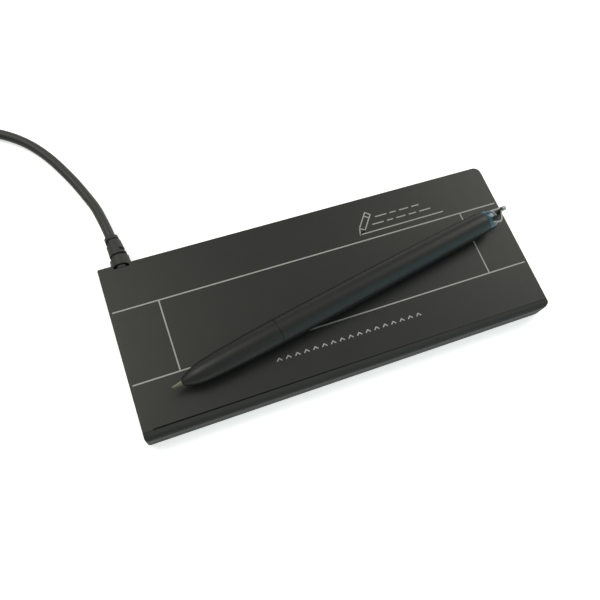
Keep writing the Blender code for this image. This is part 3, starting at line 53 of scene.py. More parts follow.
log = logging.getLogger("signature_pad")
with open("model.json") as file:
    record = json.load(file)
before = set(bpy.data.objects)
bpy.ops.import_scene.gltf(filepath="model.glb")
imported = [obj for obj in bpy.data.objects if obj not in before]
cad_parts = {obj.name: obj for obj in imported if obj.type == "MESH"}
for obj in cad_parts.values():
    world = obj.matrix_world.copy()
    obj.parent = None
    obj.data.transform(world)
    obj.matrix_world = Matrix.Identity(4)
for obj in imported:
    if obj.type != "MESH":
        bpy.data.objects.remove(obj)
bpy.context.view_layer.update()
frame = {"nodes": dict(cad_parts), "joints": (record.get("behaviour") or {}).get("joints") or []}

Outline = list[tuple[float, float]]


class Body(Enum):
    """The bodies that pieces ride on."""

    PAD = "pad"
    PEN = "pen"
    RING = "ring"


class Print(Enum):
    """What the overlay's ink draws."""

    FRAME = "printed_frame"
    PICTOGRAM = "printed_pictogram"
    CHEVRONS = "printed_chevrons"


# Colours and nodes


def linear(colour: str) -> tuple[float, float, float, float]:
    """Turns an sRGB hex colour into linear light.

    Args:
        colour: Six hex digits after a hash sign.

    Returns:
        Red, green, blue and an alpha of one.
    """
    shares = [int(colour[i : i + 2], 16) / 255 for i in (1, 3, 5)]
    light = [s / 12.92 if s <= 0.04045 else ((s + 0.055) / 1.055) ** 2.4 for s in shares]
    return (light[0], light[1], light[2], 1.0)


def add_node(
    tree: bpy.types.NodeTree,
    kind: str,
    settings: dict[str, object] | None = None,
    inputs: dict[str | int, object] | None = None,
) -> bpy.types.Node:
    """Adds a node, sets its options, and fills or links its inputs.

    Args:
        tree: The node tree.
        kind: The node's type, without the leading word ShaderNode.
        settings: The node's attributes.
        inputs: Values or output sockets, by the input's name or number.

    Returns:
        The node.
    """
    node = tree.nodes.new("ShaderNode" + kind)
    for name, value in (settings or {}).items():
        setattr(node, name, value)
    for name, value in (inputs or {}).items():
        if isinstance(value, bpy.types.NodeSocket):
            tree.links.new(value, node.inputs[name])
        else:
            node.inputs[name].default_value = value
    return node


# Finishes


@dataclass(frozen=True)
class Surface:
    """A material in the making.

    Attributes:
        tree: Its node tree.
        shader: Its Principled shader.
        place: The piece's own coordinates, in metres.
    """

    tree: bpy.types.NodeTree
    shader: bpy.types.Node
    place: bpy.types.NodeSocket

    def connect(self, value: bpy.types.NodeSocket, name: str) -> None:
        """Links a value to the shader's input of that name."""
        self.tree.links.new(value, self.shader.inputs[name])

    def patches(self, width: float) -> bpy.types.NodeSocket:
        """Returns a pattern of soft, irregular patches of that width, from zero to one."""
        inputs = {"Vector": self.place, "Scale": 1 / width, "Detail": PATCH_DETAIL}
        return add_node(self.tree, "TexNoise", {}, inputs).outputs["Fac"]

    def streaks(
        self, widths: tuple[float, float, float], turn: float = 0.0, detail: float = PATCH_DETAIL
    ) -> bpy.types.NodeSocket:
        """Returns a pattern of patches that are longer one way, as brushed lines are.

        Args:
            widths: A patch's widths along X, Y and Z.
            turn: How far the patches are turned about Z.
            detail: The number of finer octaves.

        Returns:
            The pattern, from zero to one.
        """
        scale = tuple(1 / width for width in widths)
        inputs = {"Vector": self.place, "Scale": scale, "Rotation": (0.0, 0.0, turn)}
        stretched = add_node(self.tree, "Mapping", {}, inputs).outputs[0]
        inputs = {"Vector": stretched, "Scale": 1.0, "Detail": detail}
        return add_node(self.tree, "TexNoise", {}, inputs).outputs["Fac"]

    def tint(self, share: bpy.types.NodeSocket, first: str, second: str) -> None:
        """Colours the surface from one colour to another by a pattern.

        Args:
            share: The pattern.
            first: The sRGB colour where the pattern is zero.
            second: The sRGB colour where it is one.
        """
        inputs = {0: share, "A": linear(first), "B": linear(second)}
        mix = add_node(self.tree, "Mix", {"data_type": "RGBA"}, inputs)
        self.connect(mix.outputs["Result"], "Base Color")

    def raise_grain(self, height: bpy.types.NodeSocket, depth: float) -> None:
        """Bumps the surface by a pattern, over any bump that it has.

        Args:
            height: The pattern of heights, from zero to one.
            depth: The height at one.
        """
        inputs: dict[str | int, object] = {"Height": height, "Distance": depth}
        below = self.shader.inputs["Normal"]
        if below.is_linked:
            inputs["Normal"] = below.links[0].from_socket
        self.connect(add_node(self.tree, "Bump", {}, inputs).outputs[0], "Normal")


@dataclass(frozen=True)
class Finish:
    """A finish with a fine grain, a slightly uneven colour and an uneven gloss.

    Attributes:
        name: The material's name.
        colour: The clean surface's sRGB colour.
        roughness: The middle roughness.
        ior: The index of refraction of a non-metal.
        metallic: One for a metal.
        specular: Strength of the mirror-like share: a half when smooth, less on a texture.
        grain: Spacing of the surface grain.
        depth: Height of that grain.
        mottle: Share by which the colour's lightness varies.
        mottle_size: Width of its patches.
        gloss_spread: How far the roughness varies each way.
    """

    name: str
    colour: str
    roughness: float
    ior: float = 1.5
    metallic: float = 0.0
    specular: float = 0.5
    grain: float = 0.6 * MM
    depth: float = 0.01 * MM
    mottle: float = 0.06
    mottle_size: float = 14.0 * MM
    gloss_spread: float = 0.04

    def material(self) -> bpy.types.Material:
        """Makes the material, or finds it when it is made already.

        Returns:
            The material of this finish.
        """
        made = bpy.data.materials.get(self.name)
        if made is None:
            made = bpy.data.materials.new(self.name)
            made.use_nodes = True
            tree = made.node_tree
            shader = tree.nodes["Principled BSDF"]
            constants: dict[str, object] = {
                "Base Color": linear(self.colour),
                "Roughness": self.roughness,
                "Metallic": self.metallic,
            }
            if not self.metallic:
                constants |= {"IOR": self.ior, "Specular IOR Level": self.specular}
            for name, value in constants.items():
                shader.inputs[name].default_value = value
            self.dress(Surface(tree, shader, add_node(tree, "TexCoord").outputs["Object"]))
        return made

    def shaded(self, share: float) -> str:
        """Returns the finish's colour, lighter or darker by a share of its value."""
        parts = [int(self.colour[i : i + 2], 16) * (1 + share) for i in (1, 3, 5)]
        return "#" + "".join(f"{max(0, min(255, round(part))):02x}" for part in parts)

    def dress(self, surface: Surface) -> None:
        """Adds the uneven colour and gloss, and the grain.

        Args:
            surface: The material in the making.
        """
        mottled = surface.patches(self.mottle_size)
        surface.tint(mottled, self.shaded(-self.mottle), self.shaded(self.mottle))
        inputs = {
            "Value": surface.patches(self.mottle_size / GLOSS_PATCHES),
            "To Min": self.roughness - self.gloss_spread,
            "To Max": self.roughness + self.gloss_spread,
        }
        gloss = add_node(surface.tree, "MapRange", {}, inputs)
        surface.connect(gloss.outputs[0], "Roughness")
        surface.raise_grain(surface.patches(self.grain), self.depth)


@dataclass(frozen=True)
class VelvetPolycarbonate(Finish):
    """Polycarbonate film with a velvet-embossed face, printed on its back.

    The face scatters light softly, so the sheet looks an even dark grey with a broad, dull sheen,
    and use leaves faint hairlines in it.

    Attributes:
        hairline: Spacing of the hairlines.
        hairline_length: Their length.
        hairline_turn: Their direction.
        hairline_detail: The number of finer octaves in them.
        hairline_range: The pattern's values where a hairline starts and where it is full.
        worn: Change of roughness on a hairline.
    """

    hairline: float = 1.1 * MM
    hairline_length: float = 26.0 * MM
    hairline_turn: float = 24 * DEGREE
    hairline_detail: float = 3.0
    hairline_range: tuple[float, float] = (0.62, 0.75)
    worn: float = 0.05

    def dress(self, surface: Surface) -> None:
        """Adds hairlines to the common grain.

        Args:
            surface: The material in the making.
        """
        super().dress(surface)
        widths = (self.hairline_length, self.hairline, 1.0)
        lines = surface.streaks(widths, self.hairline_turn, self.hairline_detail)
        start, full = self.hairline_range
        inputs = {"Value": lines, "From Min": start, "From Max": full}
        fine = add_node(surface.tree, "MapRange", {}, inputs).outputs[0]
        gloss = surface.shader.inputs["Roughness"].links[0].from_socket
        inputs = {0: fine, 1: -self.worn, 2: gloss}
        smoothed = add_node(surface.tree, "Math", {"operation": "MULTIPLY_ADD"}, inputs)
        surface.connect(smoothed.outputs[0], "Roughness")


@dataclass(frozen=True)
class TurnedMetal(Finish):
    """Metal turned on a lathe: fine rings round the piece's own Z axis.

    Attributes:
        feed: Spacing of the tool marks.
    """

    feed: float = 0.35 * MM

    def dress(self, surface: Surface) -> None:
        """Adds the tool marks to the common grain.

        Args:
            surface: The material in the making.
        """
        super().dress(surface)
        along = add_node(surface.tree, "SeparateXYZ", {}, {0: surface.place}).outputs["Z"]
        inputs = {"W": along, "Scale": 1 / self.feed, "Detail": PATCH_DETAIL}
        marks = add_node(surface.tree, "TexNoise", {"noise_dimensions": "1D"}, inputs)
        surface.raise_grain(marks.outputs["Fac"], self.depth)


@dataclass(frozen=True)
class BrushedMetal(Finish):
    """Rolled, drawn or brushed: long fine lines along X.

    Attributes:
        line: Spacing of the lines.
        line_length: Their length.
    """

    line: float = 0.4 * MM
    line_length: float = 20.0 * MM

    def dress(self, surface: Surface) -> None:
        """Adds the brushed lines to the common grain.

        Args:
            surface: The material in the making.
        """
        super().dress(surface)
        lines = surface.streaks((self.line_length, self.line, self.line))
        surface.raise_grain(lines, self.depth)


@dataclass(frozen=True)
class WovenNylon(Finish):
    """Nylon webbing in plain weave: crossing threads with painted highlights and painted shade.

    Attributes:
        thread: Spacing of the threads.
        waver: How unevenly they lie.
        contrast: Share of painted highlight on a thread and of painted shade in the gap beside it.
    """

    thread: float = 0.9 * MM
    waver: float = 0.4
    contrast: float = 0.35

    def dress(self, surface: Surface) -> None:
        """Adds the crossing threads to the common grain.

        Args:
            surface: The material in the making.
        """
        super().dress(surface)
        waves = []
        for direction in ("X", "DIAGONAL"):
            settings = {"wave_type": "BANDS", "bands_direction": direction}
            scale = FULL_TURN / (WAVE_UNIT * self.thread)
            inputs = {"Vector": surface.place, "Scale": scale, "Distortion": self.waver}
            waves.append(add_node(surface.tree, "TexWave", settings, inputs).outputs["Fac"])
        weave = add_node(surface.tree, "Math", {"operation": "MAXIMUM"}, dict(enumerate(waves)))
        # The threads are painted lighter as a highlight, and the gaps darker as shade.
        surface.tint(weave.outputs[0], self.shaded(-self.contrast), self.shaded(self.contrast))
        surface.raise_grain(weave.outputs[0], self.depth)


@dataclass(frozen=True)
class CellFoam(Finish):
    """Closed-cell foam sheet: small round cells under a dull skin."""

    def dress(self, surface: Surface) -> None:
        """Adds the cells to the common grain.

        Args:
            surface: The material in the making.
        """
        super().dress(surface)
        inputs = {"Vector": surface.place, "Scale": 1 / self.grain}
        cells = add_node(surface.tree, "TexVoronoi", {}, inputs)
        surface.raise_grain(cells.outputs["Distance"], self.depth)


@dataclass(frozen=True)
class ClearSheet(Finish):
    """Float glass or clear film: polished, and see-through.

    Attributes:
        clarity: Share of the light that passes through.
    """

    clarity: float = 0.9

    def dress(self, surface: Surface) -> None:
        """Lets light through the common finish."""
        super().dress(surface)
        surface.shader.inputs["Transmission Weight"].default_value = self.clarity


@dataclass(frozen=True)
class TrackedLaminate(Finish):
    """Laminate with copper tracks under its skin, such as a circuit board or a flat flex.

    Attributes:
        track: Spacing of the tracks.
        track_edge: The pattern's values where a track starts and where it is full.
        wander: How much they bend.
        copper: The sRGB colour over a track.
    """

    track: float = 1.0 * MM
    track_edge: tuple[float, float] = (0.55, 0.65)
    wander: float = 0.0
    copper: str = "#2e7d46"

    def dress(self, surface: Surface) -> None:
        """Adds the tracks to the common grain.

        Args:
            surface: The material in the making.
        """
        super().dress(surface)
        settings = {"wave_type": "BANDS", "bands_direction": "X", "wave_profile": "SIN"}
        inputs = {
            "Vector": surface.place,
            "Scale": FULL_TURN / (WAVE_UNIT * self.track),
            "Distortion": self.wander,
            "Detail": 0.0,
        }
        wave = add_node(surface.tree, "TexWave", settings, inputs).outputs["Fac"]
        start, full = self.track_edge
        inputs = {"Value": wave, "From Min": start, "From Max": full}
        lines = add_node(surface.tree, "MapRange", {}, inputs).outputs[0]
        surface.tint(lines, self.colour, self.copper)
        surface.raise_grain(lines, self.depth)


@dataclass(frozen=True)
class EndPlated(Finish):
    """Fired ceramic block with tinned ends, as on a chip capacitor.

    Attributes:
        end_share: Share of the length that each metal end covers.
        metal: The sRGB colour of the tin.
    """

    end_share: float = 0.22
    metal: str = "#b9b9b4"

    def dress(self, surface: Surface) -> None:
        """Adds the tinned ends to the common finish.

        Args:
            surface: The material in the making.
        """
        super().dress(surface)
        tree, middle = surface.tree, 0.5
        across = add_node(tree, "TexCoord").outputs["Generated"]
        along = add_node(tree, "SeparateXYZ", {}, {0: across}).outputs["X"]
        offset = add_node(tree, "Math", {"operation": "SUBTRACT"}, {0: along, 1: middle})
        distance = add_node(tree, "Math", {"operation": "ABSOLUTE"}, {0: offset.outputs[0]})
        inputs = {0: distance.outputs[0], 1: middle - self.end_share}
        ends = add_node(tree, "Math", {"operation": "GREATER_THAN"}, inputs).outputs[0]
        surface.tint(ends, self.colour, self.metal)
        surface.connect(ends, "Metallic")


# Charcoal ABS, moulded in a spark-eroded tool: an even, dull grain. The real grain of about
# 0.1 mm is drawn at 0.7 mm, so that it shows.
CASE_ABS = Finish(
    "spark_eroded_abs", "#272826", 0.6, ior=1.54, specular=0.2, grain=0.7 * MM, depth=0.012 * MM
)
# Polycarbonate film, velvet embossed, printed on its back: an even dark grey with a dull sheen.
OVERLAY_FILM = VelvetPolycarbonate(
    "velvet_polycarbonate", "#181917", 0.42, ior=1.585, specular=0.25, depth=0.006 * MM, mottle=0.04
)
# Screen ink, printed and cured: flat, pale grey, with a slightly broken edge.
SCREEN_INK = Finish("screen_printed_ink", "#9a9b98", 0.6, grain=0.3 * MM, depth=0.002 * MM)
# Satin ABS of the pen, moulded in a finely polished tool: near black, with soft, long highlights.
PEN_ABS = Finish(
    "satin_moulded_abs", "#0b0c0a", 0.44, ior=1.54, specular=0.3, grain=0.5 * MM, depth=0.003 * MM
)
# ABS of the tail cap, moulded in a mirror-polished tool: deep blue-green, which is a painted
# reflection of a bluish light, with small, sharp glints.
CAP_ABS_PAINTED_REFLECTION = Finish(
    "polished_moulded_abs",
    "#123f4e",
    0.2,
    ior=1.54,
    grain=0.5 * MM,
    depth=0.001 * MM,
    gloss_spread=0.02,
)
# Nickel silver, turned and left dull: warm grey rings.
POINT_NICKEL = TurnedMetal("turned_nickel_silver", "#5d5e52", 0.5, metallic=1.0, depth=0.006 * MM)
# Steel wire, drawn and nickel plated: bright, with short soft streaks.
RING_STEEL = BrushedMetal(
    "nickel_plated_wire",
    "#8a8a86",
    0.4,
    metallic=1.0,
    grain=0.3 * MM,
    depth=0.002 * MM,
    line_length=2.0 * MM,
)
# Soft vinyl of the cable, extruded: satin, with a faint waver in its gloss.
CABLE_VINYL = Finish(
    "extruded_vinyl", "#333432", 0.48, ior=1.53, specular=0.25, grain=0.9 * MM, depth=0.006 * MM
)
# Vinyl moulded over the cable: duller than the jacket, with a fine grain.
MOULDED_VINYL = Finish(
    "moulded_vinyl", "#2f302e", 0.54, ior=1.53, specular=0.25, grain=0.5 * MM, depth=0.008 * MM
)
# Chloroprene rubber, compression moulded: matt, almost black.
FOOT_RUBBER = Finish("moulded_chloroprene", "#1d1d1c", 0.82, ior=1.52, depth=0.015 * MM)
# Steel screws, cold headed and zinc plated: cool, softly bright.
SCREW_STEEL = TurnedMetal("zinc_plated_steel", "#8f9294", 0.36, metallic=1.0, depth=0.004 * MM)
# Polyester label film over a metallised back, brushed: a pale, blank plate with a satin face.
LABEL_FILM = BrushedMetal("metallised_polyester", "#b4b4b0", 0.42, depth=0.003 * MM)
# Steel of the plug's shell, nickel plated, pressed and folded: bright, with soft streaks.
PLUG_STEEL = BrushedMetal("pressed_nickel_steel", "#b7b7b4", 0.27, metallic=1.0, depth=0.002 * MM)
# Bronze of the plug's contacts, gold flashed: warm yellow and bright.
CONTACT_GOLD = BrushedMetal("gold_flashed_bronze", "#d8b468", 0.28, metallic=1.0, depth=0.001 * MM)
# Nylon of the plug's tongue and the connectors, moulded: off-white, with a satin face.
NYLON = Finish("moulded_nylon", "#dad8cf", 0.45, ior=1.53, grain=0.5 * MM, depth=0.004 * MM)
# Nylon of the hook-and-loop strap, woven: black, with crossing threads in painted highlight and
# shade. The real threads of 0.3 mm are drawn at 0.9 mm, so that they show.
STRAP_NYLON = WovenNylon("woven_nylon", "#232325", 0.85, ior=1.53, grain=0.5 * MM, depth=0.12 * MM)
# Polyester film with a clear conductive coat: faintly blue.
TOUCH_FILM = ClearSheet(
    "coated_polyester", "#d9e2e6", 0.12, ior=1.57, depth=0.001 * MM, clarity=0.7
)
# Acrylic transfer tape on a paper carrier: cream, dull.
TRANSFER_TAPE = Finish("acrylic_transfer_tape", "#d3cfae", 0.62, grain=0.5 * MM, depth=0.004 * MM)
# Float glass with a conductive coat: faintly green.
SENSOR_GLASS = ClearSheet("coated_float_glass", "#d3e4dd", 0.04, ior=1.52, depth=0.0)
# Closed-cell polyethylene foam, skived: grey and dull, pitted by its cut cells.
FOAM = CellFoam("closed_cell_foam", "#56565a", 0.9, ior=1.45, grain=0.8 * MM, depth=0.12 * MM)
# Steel sheet, rolled and zinc plated: pale, with long soft streaks.
ROLLED_STEEL = BrushedMetal("rolled_zinc_steel", "#b9babd", 0.35, metallic=1.0, depth=0.003 * MM)
# Glass-epoxy board under green solder mask: glossy green, with paler tracks.
SOLDER_MASK = TrackedLaminate(
    "masked_glass_epoxy", "#1f6b3a", 0.38, ior=1.55, depth=0.03 * MM, track=1.6 * MM, wander=6.0
)
# Polyimide flat flex with etched copper tracks: amber, with bright lines.
POLYIMIDE = TrackedLaminate(
    "polyimide_flex", "#a8601c", 0.33, ior=1.7, depth=0.02 * MM, track=1.2 * MM, copper="#c88a4a"
)
# Epoxy, transfer moulded round a chip: dull black.
CHIP_EPOXY = Finish("moulded_epoxy", "#262628", 0.55, ior=1.55, grain=0.3 * MM, depth=0.004 * MM)
# Barium titanate, fired, with tinned ends: tan, with a bright band at each end.
CERAMIC = EndPlated("tinned_ceramic", "#a4855f", 0.45, ior=1.7, grain=0.2 * MM, depth=0.002 * MM)
# Nickel silver, drawn into the crystal's can: warm and bright.
CRYSTAL_CAN = BrushedMetal("drawn_nickel_silver", "#b5b3ab", 0.3, metallic=1.0, depth=0.002 * MM)
# Acetal, extruded natural: milky white with a waxy sheen.
ROD_ACETAL = Finish("extruded_acetal", "#c9c9c4", 0.4, ior=1.48, grain=0.4 * MM, depth=0.002 * MM)


def insulation(colour_name: str, colour: str) -> Finish:
    """Returns the finish of one core's vinyl, extruded: bright in colour and softly glossy."""
    name = f"{colour_name}_core_vinyl"
    return Finish(name, colour, 0.38, ior=1.53, grain=0.4 * MM, depth=0.002 * MM)


# Outlines and meshes


def eased(outline: Outline, radius: float, closed: bool = False, steps: int = 3) -> Outline:
    """Rounds the sharp corners of an outline and leaves its smooth stretches.

    Args:
        outline: The outline's points.
        radius: The corner radius, which short sides limit.
        closed: Whether the last point joins the first.
        steps: The number of chords in a corner.

    Returns:
        The outline with its corners rounded.
    """
    least_turn, most_reach = 20 * DEGREE, 0.45
    made: Outline = []
    for index, corner in enumerate(outline):
        here = Vector(corner)
        if not closed and index in (0, len(outline) - 1):
            made.append(corner)
            continue
        back = Vector(outline[index - 1]) - here
        ahead = Vector(outline[(index + 1) % len(outline)]) - here
        turn = math.pi - back.angle(ahead)
        if turn < least_turn:
            made.append(corner)
            continue
        reach = min(radius * math.tan(turn / 2), most_reach * min(back.length, ahead.length))
        start, end = here + back.normalized() * reach, here + ahead.normalized() * reach
        for step in range(steps + 1):
            share = step / steps
            made.append(tuple(start.lerp(here, share).lerp(here.lerp(end, share), share)))
    return made


def smooth_line(points: Sequence[Sequence[float]], spacing: float) -> list[Vector]:
    """Draws a smooth curve through points.

    Args:
        points: The points that the curve passes through.
        spacing: The most that two of its own points lie apart.

    Returns:
        Points on the curve, both ends included.
    """
    knots = [Vector(point) for point in points]
    knots = [2 * knots[0] - knots[1], *knots, 2 * knots[-1] - knots[-2]]
    line: list[Vector] = []
    for before, start, end, after in zip(knots, knots[1:], knots[2:], knots[3:]):
        pairs = ((before, start), (start, end), (end, after))
        spans = [max((b - a).length, TINY) ** 0.5 for a, b in pairs]
        slope = (end - start) / spans[1]
        leave = (start - before) / spans[0] - (end - before) / (spans[0] + spans[1]) + slope
        arrive = slope - (after - start) / (spans[1] + spans[2]) + (after - end) / spans[2]
        leave, arrive = leave * spans[1], arrive * spans[1]
        steps = max(1, math.ceil((end - start).length / spacing))
        for step in range(steps):
            t = step / steps
            line.append(
                start * (2 * t**3 - 3 * t**2 + 1)
                + leave * (t**3 - 2 * t**2 + t)
                + end * (3 * t**2 - 2 * t**3)
                + arrive * (t**3 - t**2)
            )
    return [*line, knots[-2]]


def line_length(points: Sequence[Vector]) -> float:
    """Returns the length of a line through points."""
    return sum((b - a).length for a, b in zip(points, points[1:]))


def rounded_rectangle(low: Vector, high: Vector, radius: float, steps: int = 6) -> Outline:
    """Draws a rectangle with round corners, anticlockwise.

    Args:
        low: Its lowest corner.
        high: Its highest corner.
        radius: The corner radius.
        steps: The number of chords in a corner.

    Returns:
        The outline.
    """
    centres = [
        (low.x + radius, low.y + radius),
        (high.x - radius, low.y + radius),
        (high.x - radius, high.y - radius),
        (low.x + radius, high.y - radius),
    ]
    outline: Outline = []
    for corner, (x, y) in enumerate(centres):
        for step in range(steps + 1):
            angle = (corner + 2 + step / steps) * QUARTER_TURN
            outline.append((x + radius * math.cos(angle), y + radius * math.sin(angle)))
    return outline


def finished_mesh(name: str, shape: bmesh.types.BMesh) -> bpy.types.Mesh:
    """Closes off a shape as a mesh with its faces outwards and its gentle edges smooth.

    Args:
        name: The mesh's name.
        shape: The shape, which is freed.

    Returns:
        The mesh.
    """
    bmesh.ops.recalc_face_normals(shape, faces=shape.faces)
    mesh = bpy.data.meshes.new(name)
    shape.to_mesh(mesh)
    shape.free()
    mesh.shade_smooth()
    mesh.set_sharp_from_angle(angle=SHADE_CREASE)
    return mesh


def skin(
    shape: bmesh.types.BMesh, near: list[bmesh.types.BMVert], far: list[bmesh.types.BMVert]
) -> None:
    """Joins two rings of vertices with faces; a ring of one vertex is a pole.

    Args:
        shape: The shape that the faces are added to.
        near: The first ring.
        far: The second ring.
    """
    count = max(len(near), len(far))
    for i in range(count):
        j = (i + 1) % count
        around = [near[i % len(near)], near[j % len(near)], far[j % len(far)], far[i % len(far)]]
        corners = list(dict.fromkeys(around))
        if len(corners) > 2:
            shape.faces.new(corners)


def lofted(
    name: str, rings: Sequence[Sequence[Sequence[float]]], closed: bool = False
) -> bpy.types.Mesh:
    """Skins rings of points in order into one closed body.

    Args:
        name: The mesh's name.
        rings: The rings, each of the same number of points, or of one point for a pole.
        closed: Whether the last ring joins the first, as in a ring or a bored piece.

    Returns:
        The mesh.
    """
    shape = bmesh.new()
    made = [[shape.verts.new(point) for point in ring] for ring in rings]
    for near, far in zip(made, made[1:]):
        skin(shape, near, far)
    if closed:
        skin(shape, made[-1], made[0])
    else:
        for ring in (made[0], made[-1]):
            if len(ring) > 2:
                shape.faces.new(ring)
    return finished_mesh(name, shape)


def turned(name: str, profile: Outline, closed: bool = False, sides: int = 96) -> bpy.types.Mesh:
    """Turns a profile of radius and height about Z.

    Args:
        name: The mesh's name.
        profile: The profile's points.
        closed: Whether the profile goes round a bore.
        sides: The number of sides.

    Returns:
        The mesh.
    """
    rings = []
    for radius, height in profile:
        angles = [FULL_TURN * i / sides for i in range(sides)] if radius > TINY else [0.0]
        rings.append([(radius * math.cos(a), radius * math.sin(a), height) for a in angles])
    return lofted(name, rings, closed)


def plate(name: str, low: Vector, high: Vector, corner: float, edge: float) -> bpy.types.Mesh:
    """Makes a flat plate with round corners and softly rounded edges.

    Args:
        name: The mesh's name.
        low: Its lowest corner.
        high: Its highest corner.
        corner: The corner radius seen from above.
        edge: The radius of its upper and lower edges.

    Returns:
        The mesh.
    """
    side = eased([(0.0, low.z), (edge, low.z), (edge, high.z), (0.0, high.z)], edge)
    rings = []
    for out, height in side[1:-1]:
        inset = Vector((edge - out, edge - out, 0.0))
        outline = rounded_rectangle(low + inset, high - inset, max(corner - inset.x, edge))
        rings.append([(x, y, height) for x, y in outline])
    return lofted(name, rings)


def swept(
    name: str, line: Sequence[Vector], radius: Callable[[int, float], float], sides: int = 20
) -> bpy.types.Mesh:
    """Sweeps a round section along a line.

    Args:
        name: The mesh's name.
        line: The centre line.
        radius: Gives the radius at a point's number and an angle from the line's upper side.
        sides: The number of sides.

    Returns:
        The mesh.
    """
    up = Vector((0.0, 0.0, 1.0))
    rings = []
    for index, centre in enumerate(line):
        along = (line[min(index + 1, len(line) - 1)] - line[max(index - 1, 0)]).normalized()
        up = (up - along * up.dot(along)).normalized()
        side = along.cross(up)
        ring = []
        for step in range(sides):
            angle = FULL_TURN * step / sides
            reach = radius(index, angle)
            ring.append(centre + reach * (math.cos(angle) * up + math.sin(angle) * side))
        rings.append(ring)
    return lofted(name, rings)


def ribbons(
    name: str, strokes: Sequence[Outline], width: float, low: float, high: float
) -> bpy.types.Mesh:
    """Draws strokes as flat ribbons.

    Args:
        name: The mesh's name.
        strokes: The middle line of each stroke.
        width: The strokes' width.
        low: The ribbons' lower face.
        high: Their upper face.

    Returns:
        One mesh of all the strokes.
    """
    least_mitre = 0.4
    sides = [(-1, low), (1, low), (1, high), (-1, high)]
    shape = bmesh.new()
    for stroke in strokes:
        points = [Vector(point) for point in stroke]
        rings = []
        for index, here in enumerate(points):
            before, after = points[max(index - 1, 0)], points[min(index + 1, len(points) - 1)]
            back, ahead = (here - before).normalized(), (after - here).normalized()
            along = (back + ahead).normalized()
            across = Vector((-along.y, along.x))
            leg = ahead if index == 0 else back
            reach = width / 2 / max(across.dot(Vector((-leg.y, leg.x))), least_mitre)
            corners = [(*(here + across * side * reach), z) for side, z in sides]
            rings.append([shape.verts.new(corner) for corner in corners])
        for near, far in zip(rings, rings[1:]):
            skin(shape, near, far)
        shape.faces.new(rings[0])
        shape.faces.new(rings[-1])
    return finished_mesh(name, shape)


def eased_mesh(
    name: str, shape: bmesh.types.BMesh, edge: float, weld: float, flat: float
) -> bpy.types.Mesh:
    """Merges a shape's flat faces, eases its sharp edges and closes it off as a mesh.

    Args:
        name: The mesh's name.
        shape: The shape, which is freed.
        edge: The radius that its sharp edges get.
        weld: The distance within which corners are merged.
        flat: The angle within which faces count as flat.

    Returns:
        The mesh.
    """
    bmesh.ops.remove_doubles(shape, verts=shape.verts, dist=weld)
    bmesh.ops.dissolve_limit(
        shape, angle_limit=flat, verts=shape.verts, edges=shape.edges, delimit=set()
    )
    inner = [line for line in shape.edges if len(line.link_faces) == 2]
    sharp = [line for line in inner if line.calc_face_angle(0.0) > EASED_CREASE]
    bmesh.ops.bevel(
        shape,
        geom=sharp,
        offset=edge,
        segments=2,
        profile=0.5,
        affect="EDGES",
        clamp_overlap=True,
    )
    return finished_mesh(name, shape)


def refined(node: str, edge: float) -> bpy.types.Mesh:
    """Copies a CAD node's mesh with clean faces and eased edges.

    Args:
        node: The CAD node.
        edge: The radius that its sharp edges get.

    Returns:
        The new mesh, in the frame's coordinates.
    """
    source = frame["nodes"][node].data
    shape = bmesh.new()
    corners = [shape.verts.new(vertex.co) for vertex in source.vertices]
    for face in source.polygons:
        shape.faces.new([corners[i] for i in face.vertices])
    return eased_mesh(f"{node}_mesh", shape, edge, weld=0.002 * MM, flat=0.5 * DEGREE)


def carve(piece: bpy.types.Object, cutters: Sequence[bpy.types.Mesh], edge: float) -> None:
    """Cuts shapes out of a piece and eases the new edges.

    Args:
        piece: The piece, whose mesh is changed.
        cutters: Meshes in the piece's own coordinates.
        edge: The radius of the edges.
    """
    for mesh in cutters:
        cutter = bpy.data.objects.new(mesh.name, mesh)
        bpy.context.scene.collection.objects.link(cutter)
        cutter.matrix_world = piece.matrix_world
        cut = piece.modifiers.new("cut", "BOOLEAN")
        cut.operation = "DIFFERENCE"
        cut.solver = "EXACT"
        cut.object = cutter
    bpy.context.view_layer.update()
    graph = bpy.context.evaluated_depsgraph_get()
    result = bpy.data.meshes.new_from_object(piece.evaluated_get(graph))
    for cut in [made for made in piece.modifiers if made.type == "BOOLEAN"]:
        bpy.data.objects.remove(cut.object, do_unlink=True)
        piece.modifiers.remove(cut)
    shape = bmesh.new()
    shape.from_mesh(result)
    old = piece.data
    piece.data = eased_mesh(piece.name, shape, edge, weld=0.001 * MM, flat=0.2 * DEGREE)
    for material in old.materials:
        piece.data.materials.append(material)


def block(name: str, low: Sequence[float], high: Sequence[float]) -> bpy.types.Mesh:
    """Makes a plain block that serves as a cutter.

    Args:
        name: The mesh's name.
        low: Its lowest corner.
        high: Its highest corner.

    Returns:
        The mesh.
    """
    shape = bmesh.new()
    bmesh.ops.create_cube(shape, size=1.0)
    bmesh.ops.scale(shape, vec=[b - a for a, b in zip(low, high)], verts=shape.verts)
    bmesh.ops.translate(shape, vec=[(a + b) / 2 for a, b in zip(low, high)], verts=shape.verts)
    return finished_mesh(name, shape)


# Pieces and the frame


